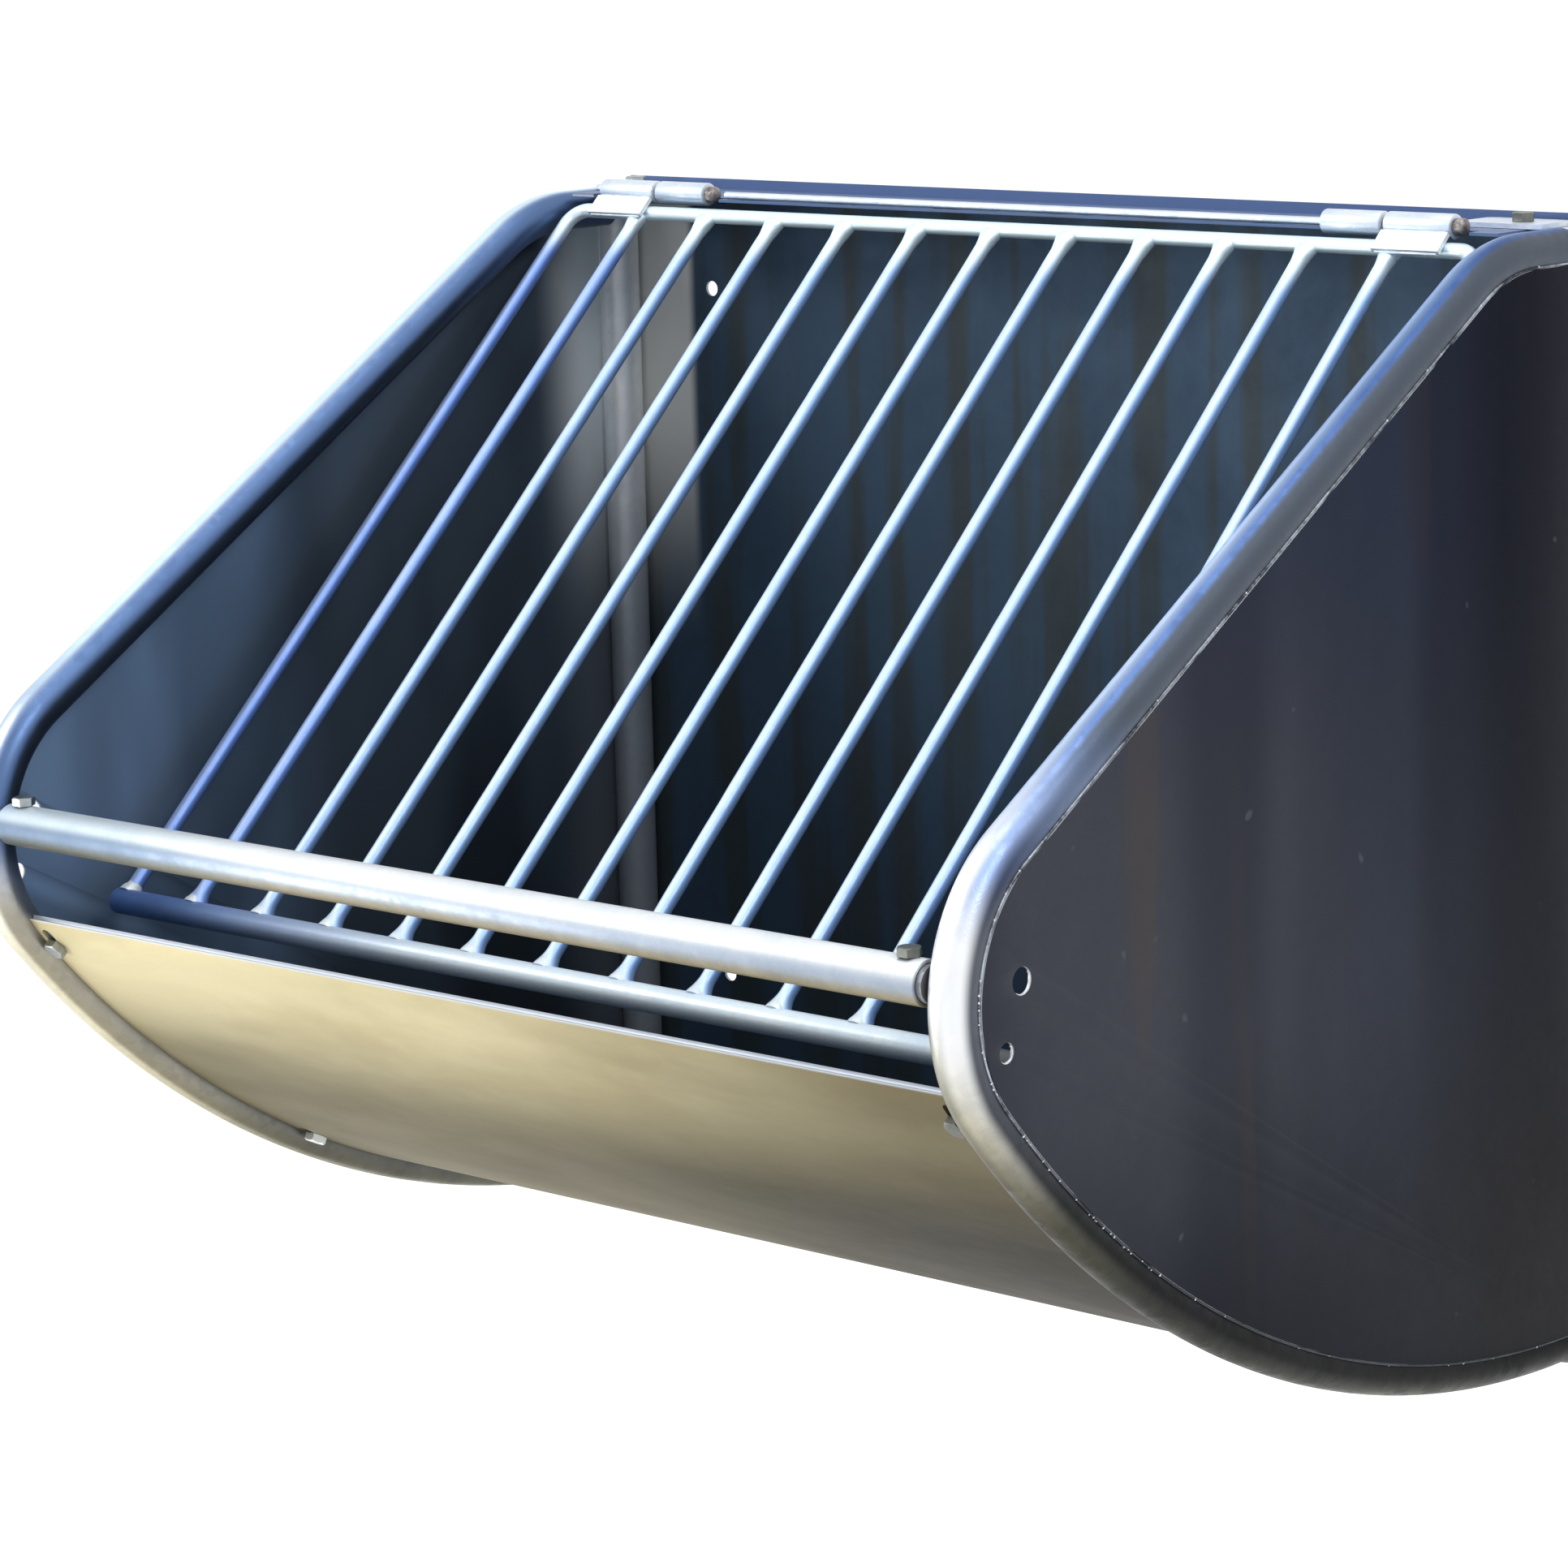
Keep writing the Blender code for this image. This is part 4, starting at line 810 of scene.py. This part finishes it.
def make_set_out_tree():
    """Sets out copies of a shape at marked points, each turned as its point says."""
    tree, entry = open_tree(
        "GeometryNodeTree", "set_out_copies", points=("Geometry",), shape=("Object",), lump_height=("Float", 0.0),
        lumps_per_metre=("Float", 200.0), metal=("Material",))
    shape = node(tree, "GeometryNodeObjectInfo", {"Object": entry["Shape"]})
    turn = node(tree, "GeometryNodeInputNamedAttribute", {"Name": "turn"}, data_type="FLOAT_VECTOR")
    place = node(tree, "GeometryNodeInstanceOnPoints", {
        "Points": entry["Points"], "Instance": shape.outputs["Geometry"], "Rotation": turn.outputs["Attribute"]})
    solid = node(tree, "GeometryNodeRealizeInstances", {0: place.outputs[0]})
    return close_shape(tree, solid.outputs[0], entry)


SET_OUT = make_set_out_tree()


def set_out(shape_mesh, frames, finish, **sizes):
    """Copies of a shape at the given frames, as one mesh."""
    marks = bpy.data.meshes.new("marks")
    marks.from_pydata([tuple(place.translation) for place in frames], [], [])
    turn = marks.attributes.new("turn", "FLOAT_VECTOR", "POINT")
    turn.data.foreach_set("vector", [angle for place in frames for angle in place.to_euler()])
    shape = put_in("shape", shape_mesh)
    made = grown(marks, SET_OUT, finish, shape=shape, **sizes)
    bpy.data.objects.remove(shape, do_unlink=True)
    return made


def at_both_sides(x, y, z):
    """A frame at a place on the left side, and its match on the right."""
    return [Matrix.Translation((sign * x, y, z)) for sign in SIDES.values()]


def lifted(frames, height):
    """Frames moved along their own Z."""
    return [place @ Matrix.Translation((0.0, 0.0, height)) for place in frames]


# The facing tint paints shade on downward faces.
bolt_plating = Zinc("bolt_plating", {"Down": (0.6, 0.58, 0.52)}, metallic=1.0, bump=0.1, pale=(0.52, 0.56, 0.58),
                    deep=(0.24, 0.26, 0.27), cloud_scale=120.0, spangle_scale=900.0, spangle_strength=0.1,
                    grain_scale=2500.0, roughest=0.45, smoothest=0.25)
# Painted shade on the bolts of the right side; a painted highlight on the lower bolts of the left side.
bolt_plating.coat((0.42, 0.41, 0.36), bolt_plating.along("X", 0.10, 0.20), "MULTIPLY")
bolt_plating.coat((0.95, 1.0, 1.0), both(
    bolt_plating.along("X", -0.10, -0.20), bolt_plating.along("Z", -0.42, -0.46)))
shank = turned([(0.0, 0.0028), (0.0040, 0.0028), (0.0040, -0.0098), (0.0036, -0.0104), (0.0, -0.0104)], 20)
face_ring = turned([(0.0, WASHER_FACE), (0.0061, WASHER_FACE), (0.0061, -0.0001), (0.0, -0.0001)], 32)
bolt = cleaned(joined([hexagon_head(BOLT_HEAD, False), shank, face_ring]), BOLT_EDGE)
nut = cleaned(hexagon_head(NUT_HEIGHT, True), BOLT_EDGE)
bolt_frames = lifted(tab_frames.values(), WASHER_FACE) + at_both_sides(*CORNER_BOLT, FLANGE_TOP + 0.0036)
bolt_frames += at_both_sides(BAR_BOLT_X, FRONT_BAR_Y, FRONT_BAR_Z + FRONT_BAR_RADIUS + WASHER_FACE)
fit_piece("hexagon_bolts", set_out(bolt, bolt_frames, bolt_plating), bolt_plating, "feeder_body", "fastener_steel",
          *["trough_bolt_" + where for where in tab_frames], *[side + "_corner_bolt" for side in SIDES],
          *[side + "_bar_bolt" for side in SIDES], sharp=BOLT_EDGE)
nut_frames = lifted(tab_frames.values(), -0.0121) + at_both_sides(*CORNER_BOLT, FLANGE_TOP - 0.0088)
fit_piece("hexagon_nuts", set_out(nut, nut_frames, bolt_plating), bolt_plating, "feeder_body", "fastener_steel",
          *["trough_nut_" + where for where in tab_frames], *[side + "_corner_nut" for side in SIDES],
          sharp=BOLT_EDGE)
finish_nodes(post_zinc, *["trough_tab_" + where for where in tab_frames])

# ---------------------------------------------------------------------------
# Back sheet and corner plates
# A flat sheet against the wall, hung on four screws, with a flange strip welded
# across it just under its top edge; bolted corner plates tie that to the rims.
# ---------------------------------------------------------------------------
# The facing tint paints the front face in dark blue shade.
back_zinc = Zinc("back_sheet_zinc", {"Front": (0.14, 0.23, 0.33)}, metallic=0.5, bump=0.08, pale=(0.44, 0.49, 0.54),
                 deep=(0.28, 0.32, 0.37), cloud_scale=12.0, cloud_contrast=2.2, spangle_scale=130.0,
                 spangle_strength=0.08, roughest=0.6, smoothest=0.42)
front_face = back_zinc.looking("Y", 0.0, -0.5)
back_zinc.shade((1.0, 0.66, 0.40), both(front_face, back_zinc.patches(
    6.0, 0.47, 0.60, stretch=(4.0, 1.0, 0.22), detail=3.0, to_high=0.75)))
# A painted pool of light on the left part of the front face, and a painted blue sky reflection along the flange at
# the top.
back_zinc.coat((0.95, 0.95, 0.90), both(front_face, both(
    back_zinc.along("X", -0.355, -0.345, 0.9, 0.0), back_zinc.along("Z", -0.26, -0.06))))
back_zinc.coat((0.09, 0.145, 0.30), back_zinc.along("Z", FLANGE_TOP - 0.004, FLANGE_TOP + 0.001))
finish_nodes(back_zinc, "back_sheet")
# The facing tint paints shade on downward faces.
plate_zinc = Zinc("plate_zinc", {"Down": (0.4, 0.4, 0.4)}, pale=(0.84, 0.88, 0.93), deep=(0.50, 0.58, 0.72),
                  cloud_scale=40.0, spangle_scale=260.0)
finish_nodes(plate_zinc, *[side + "_corner_plate" for side in SIDES])

# ---------------------------------------------------------------------------
# Edge rail and hinges
# A round rail is welded along the flange's front edge, in line with the hinges.
# Each hinge is a sleeve on the flange, one on the grille and a headed pin
# through both; a short lug joins the grille's sleeve to its top rod.
# ---------------------------------------------------------------------------
HINGE_Y = -0.074
HINGE_Z = 0.074
HINGE_LINE = Matrix.Translation((0.0, HINGE_Y, HINGE_Z))
ALONG_X = Matrix.Rotation(math.pi / 2, 4, "Y")
SLEEVE_RADIUS = 0.008
SLEEVE_BORE = 0.0043
SLEEVES = {"body": (0.263, 0.308), "grille": (0.311, 0.361)}
PIN_RADIUS = 0.004
PIN_HEAD_RADIUS = 0.0055
PIN_HEAD = 0.008
PIN_DOME = 0.0026
PIN_SEATS = {"left": (-0.2627, -0.363), "right": (0.3613, 0.265)}
RAIL = (-0.2467, 0.2627)
RAIL_RADIUS = 0.0025
BEAD_STARTS = (-0.236, -0.150, -0.060, 0.030, 0.120, 0.205)
BEAD_LENGTH = 0.022
# The facing tints paint shade on downward faces and, slightly, on forward ones.
hinge_zinc = Zinc("hinge_zinc", {"Down": (0.30, 0.36, 0.46), "Front": (0.86, 0.92, 0.97)}, metallic=0.6, bump=0.18,
                  pale=(0.90, 0.93, 0.97), deep=(0.60, 0.68, 0.80), cloud_scale=45.0, spangle_scale=300.0,
                  smoothest=0.28, roughest=0.45)
# The pins' dark colour is painted shade round their heads.
pin_steel_in_painted_shade = Zinc("pin_steel_in_painted_shade", pale=(0.42, 0.40, 0.40), deep=(0.10, 0.075, 0.065), cloud_scale=160.0,
                 cloud_contrast=3.0, spangle_scale=900.0, grain_scale=2500.0)
# The facing tint paints shade on downward faces.
lug_zinc = Zinc("lug_zinc", {"Down": (0.5, 0.6, 0.7)}, metallic=0.2, pale=(0.98, 0.99, 1.0), deep=(0.82, 0.90, 0.95),
                cloud_scale=60.0, spangle_scale=300.0)


def laid_along_x(mesh, place):
    """A piece that was made about Z, laid about X at its place."""
    mesh.transform(place @ ALONG_X)
    return mesh


def rounded_pipe(outer, bore, low, high, edge, sides):
    """Open pipe along Z with rounded rims."""
    quarter = stepped(0.0, math.pi / 2, 2)
    profile = [(outer - edge * (1 - math.sin(a)), high - edge * (1 - math.cos(a))) for a in quarter]
    profile += [(outer - edge * (1 - math.cos(a)), low + edge * (1 - math.sin(a))) for a in quarter]
    return turned(profile + [(bore, low), (bore, high)], sides, closed=True)


for owner, body in (("body", "feeder_body"), ("grille", "grille")):
    spans = [sorted(sign * end for end in SLEEVES[owner]) for sign in SIDES.values()]
    sleeves = [laid_along_x(rounded_pipe(SLEEVE_RADIUS, SLEEVE_BORE, low, high, 0.0011, 36), HINGE_LINE)
               for low, high in spans]
    fit_piece(owner + "_sleeves", joined(sleeves), hinge_zinc, body, "fitting_steel",
              *[side + "_" + owner + "_sleeve" for side in SIDES])

pins = []
for seat, tail in PIN_SEATS.values():
    dome = [(PIN_HEAD_RADIUS * math.sin(a), seat + PIN_HEAD - PIN_DOME * (1 - math.cos(a)))
            for a in stepped(0.0, math.pi / 2, 6)]
    pins.append(laid_along_x(turned(dome + [
        (PIN_HEAD_RADIUS, seat + 0.0004), (PIN_HEAD_RADIUS - 0.0004, seat), (PIN_RADIUS, seat),
        (PIN_RADIUS, tail + 0.0006), (PIN_RADIUS - 0.0006, tail), (0.0, tail)], 32), HINGE_LINE))
fit_piece("hinge_pins", joined(pins), pin_steel_in_painted_shade, "feeder_body", "fastener_steel",
          *[side + "_hinge_pin" for side in SIDES])
finish_nodes(lug_zinc, *[side + "_grille_lug" for side in SIDES])

rail = grown(line_mesh([(x, HINGE_Y, HINGE_Z) for x in stepped(*RAIL, 120)]), DRAWN_TUBE, hinge_zinc,
             radius=RAIL_RADIUS, sides=20, lump_height=0.0003, lumps_per_metre=90.0)
fit_piece("edge_rail_rod", rail, hinge_zinc, "feeder_body", "fitting_steel", "edge_rail")
sleeve_seat = HINGE_Y + math.sqrt(SLEEVE_RADIUS ** 2 - (HINGE_Z - FLANGE_TOP) ** 2)
sleeve_beads = stepped(SLEEVES["body"][0] + 0.003, SLEEVES["body"][0] + 0.042, 16)
beads = [[(sign * x, sleeve_seat + 0.0002, FLANGE_TOP + 0.0004) for x in sleeve_beads] for sign in SIDES.values()]
beads += [[(x, HINGE_Y + 0.0016, FLANGE_TOP + 0.0004) for x in stepped(first, first + BEAD_LENGTH, 10)]
          for first in BEAD_STARTS]
fit_piece("hinge_welds", grown(line_mesh(*beads), DRAWN_TUBE, weld_zinc, radius=0.0013, sides=10, lump_height=0.0011,
                               lumps_per_metre=330.0), weld_zinc, "feeder_body", "fitting_steel", sharp=60.0)

# ---------------------------------------------------------------------------
# Front bar
# A galvanised pipe across the noses, pushed on two stubs that are welded to the
# rims, and held on them by one bolt at each end.
# ---------------------------------------------------------------------------
PIPE_WALL = 0.002
# The facing tint and the last coat paint a warm ground reflection underneath; the other coats paint shade below the
# top and towards the left end.
bar_zinc = Zinc("front_bar_zinc", {"Down": (0.80, 0.70, 0.50)}, metallic=0.5, bump=0.16, pale=(0.90, 0.93, 0.95),
                deep=(0.66, 0.72, 0.78), cloud_scale=22.0, cloud_contrast=2.0, spangle_scale=200.0, smoothest=0.36,
                roughest=0.52)
bar_zinc.shade((0.50, 0.56, 0.66), bar_zinc.along("Z", FRONT_BAR_Z + 0.0085, FRONT_BAR_Z - 0.0020))
bar_zinc.shade((0.60, 0.66, 0.76), both(
    bar_zinc.along("Z", FRONT_BAR_Z + 0.0070, FRONT_BAR_Z + 0.0020), bar_zinc.along("X", -0.05, -0.35)))
bar_zinc.shade((0.72, 0.80, 0.84), bar_zinc.along("X", -0.12, -0.30))
bar_zinc.shade((0.92, 0.74, 0.46), bar_zinc.along("Z", FRONT_BAR_Z - 0.0010, FRONT_BAR_Z - 0.0100))
bar = rounded_pipe(FRONT_BAR_RADIUS, FRONT_BAR_RADIUS - PIPE_WALL, -FRONT_BAR_END, FRONT_BAR_END, 0.0007, 48)
fit_piece("front_pipe", laid_along_x(bar, Matrix.Translation((0.0, FRONT_BAR_Y, FRONT_BAR_Z))), bar_zinc,
          "feeder_body", "front_bar_steel", "front_bar")
# The stubs' dark colour is painted shade inside the pipe's ends.
stub_zinc = Zinc("stub_zinc", pale=(0.30, 0.31, 0.33), deep=(0.14, 0.15, 0.17), cloud_scale=60.0,
                 spangle_scale=300.0)
finish_nodes(stub_zinc, *[side + "_bar_stub" for side in SIDES])

# ---------------------------------------------------------------------------
# Grille
# Thirteen 10 mm rods over a heavier foot tube: one rod is bent into both end
# bars and the top, eleven straight ones are welded between. The galvanising has
# filled every joint with a collar of zinc.
# ---------------------------------------------------------------------------
BAR_PITCH = 0.064
ROD_RADIUS = 0.005
END_BAR_X = 0.384
ROD_BEND = 0.014
ROD_DROP = 0.004
GRILLE_TOP = -0.016
GRILLE_FOOT = -0.628
FOOT_RADIUS = 0.0085
FOOT_HALF = 0.390
PIVOT = HINGE_LINE @ Matrix.Rotation(math.radians(43.5), 4, "X")
# The facing tints paint blue reflection on downward faces and on the flanks.
grille_zinc = Zinc(
    "grille_zinc", {"Down": (0.55, 0.68, 0.92), "Flank": (0.44, 0.58, 0.86), "Flank from": 0.30, "Flank to": 0.90},
    metallic=0.45, pale=(0.74, 0.88, 0.96), deep=(0.52, 0.68, 0.86), cloud_scale=30.0, cloud_contrast=1.3,
    spangle_scale=240.0, spangle_strength=0.1, smoothest=0.36, roughest=0.52)
# Painted shade towards the left end, and a painted highlight on the top rod.
grille_zinc.shade((0.55, 0.63, 1.0), grille_zinc.along("X", -0.22, -0.36, 0.0, 0.8))
grille_zinc.coat((0.80, 0.95, 0.98), grille_zinc.along("Z", 0.030, 0.052, 0.0, 0.85))
# The facing tint paints shade on downward faces.
joint_zinc = Zinc("joint_zinc", {"Down": (0.60, 0.66, 0.76)}, metallic=0.3, bump=0.3, pale=(0.90, 0.96, 0.98),
                  deep=(0.66, 0.76, 0.86), cloud_scale=50.0, spangle_scale=400.0)
# Foot tube: the facing tint paints blue reflection underneath; painted shade on its left half, deepest at the left
# end, and a painted shadow of the rim at its right end.
foot_zinc = Zinc("foot_tube_zinc", {"Down": (0.72, 0.86, 1.0)}, metallic=0.4, pale=(0.84, 0.94, 0.98),
                 deep=(0.62, 0.74, 0.86), cloud_scale=18.0, spangle_scale=200.0, smoothest=0.34, roughest=0.52)
foot_zinc.shade((0.09, 0.19, 0.46), foot_zinc.along("X", -0.38, -0.02, 0.95, 0.0))
foot_zinc.coat((0.05, 0.055, 0.06), foot_zinc.along("X", 0.352, 0.366, 0.0, 0.95))


def on_grille(x, y, z=0.0):
    """A frame on the grille: X across, Y up its slope from the foot and Z out of it, level with the rods."""
    return PIVOT @ Matrix.Translation((x, y, z - ROD_DROP))


def flared_bar():
    """Straight bar along Y that swells sideways into webs at the top rod and at the foot tube."""
    sides = 20
    length = GRILLE_TOP - GRILLE_FOOT
    stations = [length * step / 60 for step in range(3, 58)]
    stations += [FOOT_RADIUS * 0.6 + 0.0014 * step for step in range(15)]
    stations += [length - 0.018 + 0.0015 * step for step in range(13)]
    points = []
    for height in sorted(set(stations)):
        top = max(0.0, min(1.0, (height - (length - 0.0170)) / 0.0170))
        foot = max(0.0, min(1.0, (FOOT_RADIUS + 0.0115 - height) / 0.0115))
        wide = ROD_RADIUS * (1.0 + 1.30 * top ** 2.2 + 0.85 * foot ** 1.8)
        thick = ROD_RADIUS * (1.0 + 0.20 * math.sin(math.pi * min(1.0, top * 1.05)) + 0.30 * foot ** 1.8)
        thick -= 0.0006 * top ** 6
        points += [(wide * x, height, thick * z) for x, z in arc_points((0.0, 0.0), 1.0, 0.0, math.tau, sides)[:-1]]
    last = len(points) - sides
    faces = [[ring + s, ring + (s + 1) % sides, ring + sides + (s + 1) % sides, ring + sides + s]
             for ring in range(0, last, sides) for s in range(sides)]
    faces += [list(range(sides)), list(range(last, len(points)))]
    mesh = bpy.data.meshes.new("flared_bar")
    mesh.from_pydata(points, [], faces)
    return cleaned(mesh)


end_bar = stepped(GRILLE_FOOT, GRILLE_TOP - ROD_BEND, 80)[:-1]
corner = arc_points((END_BAR_X - ROD_BEND, GRILLE_TOP - ROD_BEND), ROD_BEND, math.pi / 2, 0.0, 14)
rod_line = [(-END_BAR_X, y) for y in end_bar] + [(-x, y) for x, y in reversed(corner)]
rod_line += [(x, GRILLE_TOP) for x in stepped(ROD_BEND - END_BAR_X, END_BAR_X - ROD_BEND, 120)[1:-1]]
rod_line += corner + [(END_BAR_X, y) for y in reversed(end_bar)]
frame_rod = grown(line_mesh([(x, y, -ROD_DROP) for x, y in rod_line]), DRAWN_TUBE, grille_zinc, radius=ROD_RADIUS,
                  sides=20, lump_height=0.00025, lumps_per_metre=70.0)
frame_rod.transform(PIVOT)
fit_piece("grille_frame", frame_rod, grille_zinc, "grille", "grille_steel", "grille_frame_rod")

bar_places = [BAR_PITCH * number - END_BAR_X for number in range(13)]
bars = set_out(flared_bar(), [on_grille(x, GRILLE_FOOT) for x in bar_places[1:-1]], grille_zinc, lump_height=0.0004,
               lumps_per_metre=80.0)
fit_piece("grille_bars", bars, grille_zinc, "grille", "grille_steel",
          *["grille_bar_%02d" % number for number in range(2, 13)])
foot = rounded_pipe(FOOT_RADIUS, FOOT_RADIUS - PIPE_WALL, -FOOT_HALF, FOOT_HALF, 0.0006, 36)
fit_piece("grille_foot", laid_along_x(foot, on_grille(0.0, GRILLE_FOOT)), foot_zinc, "grille", "grille_steel",
          "grille_bottom_tube")

collar = turned([(0.0, 0.0050), (0.0051, 0.0050), (0.0056, 0.0036), (0.0066, 0.0016), (0.0076, -0.0008),
                 (0.0080, -0.0030), (0.0, -0.0034)], 24)
collars = set_out(collar, [on_grille(x, GRILLE_FOOT + FOOT_RADIUS) @ Matrix.Rotation(-math.pi / 2, 4, "X")
                           for x in bar_places], joint_zinc, lump_height=0.0016, lumps_per_metre=300.0)
knob = turned([(0.0, 0.0030), (0.0036, 0.0028), (0.0058, 0.0014), (0.0062, -0.0006), (0.0054, -0.0026),
               (0.0, -0.0036)], 20)
knobs = set_out(knob, [on_grille(x, GRILLE_TOP - 0.0062, 0.0018) for x in bar_places[1:-1]], joint_zinc,
                lump_height=0.0020, lumps_per_metre=240.0)
lug_span = stepped(SLEEVES["grille"][0] + 0.002, SLEEVES["grille"][0] + 0.048, 18)
lug_lines = [[PIVOT @ Vector((sign * x, y, z)) for x in lug_span] for sign in SIDES.values()
             for y, z in ((-SLEEVE_RADIUS - 0.0004, 0.0030), (GRILLE_TOP - 0.0075, 0.0012))]
lug_beads = grown(line_mesh(*lug_lines), DRAWN_TUBE, joint_zinc, radius=0.0013, sides=10, lump_height=0.0012,
                  lumps_per_metre=300.0)
fit_piece("grille_welds", joined([collars, knobs, lug_beads]), joint_zinc, "grille", "grille_steel", sharp=60.0)
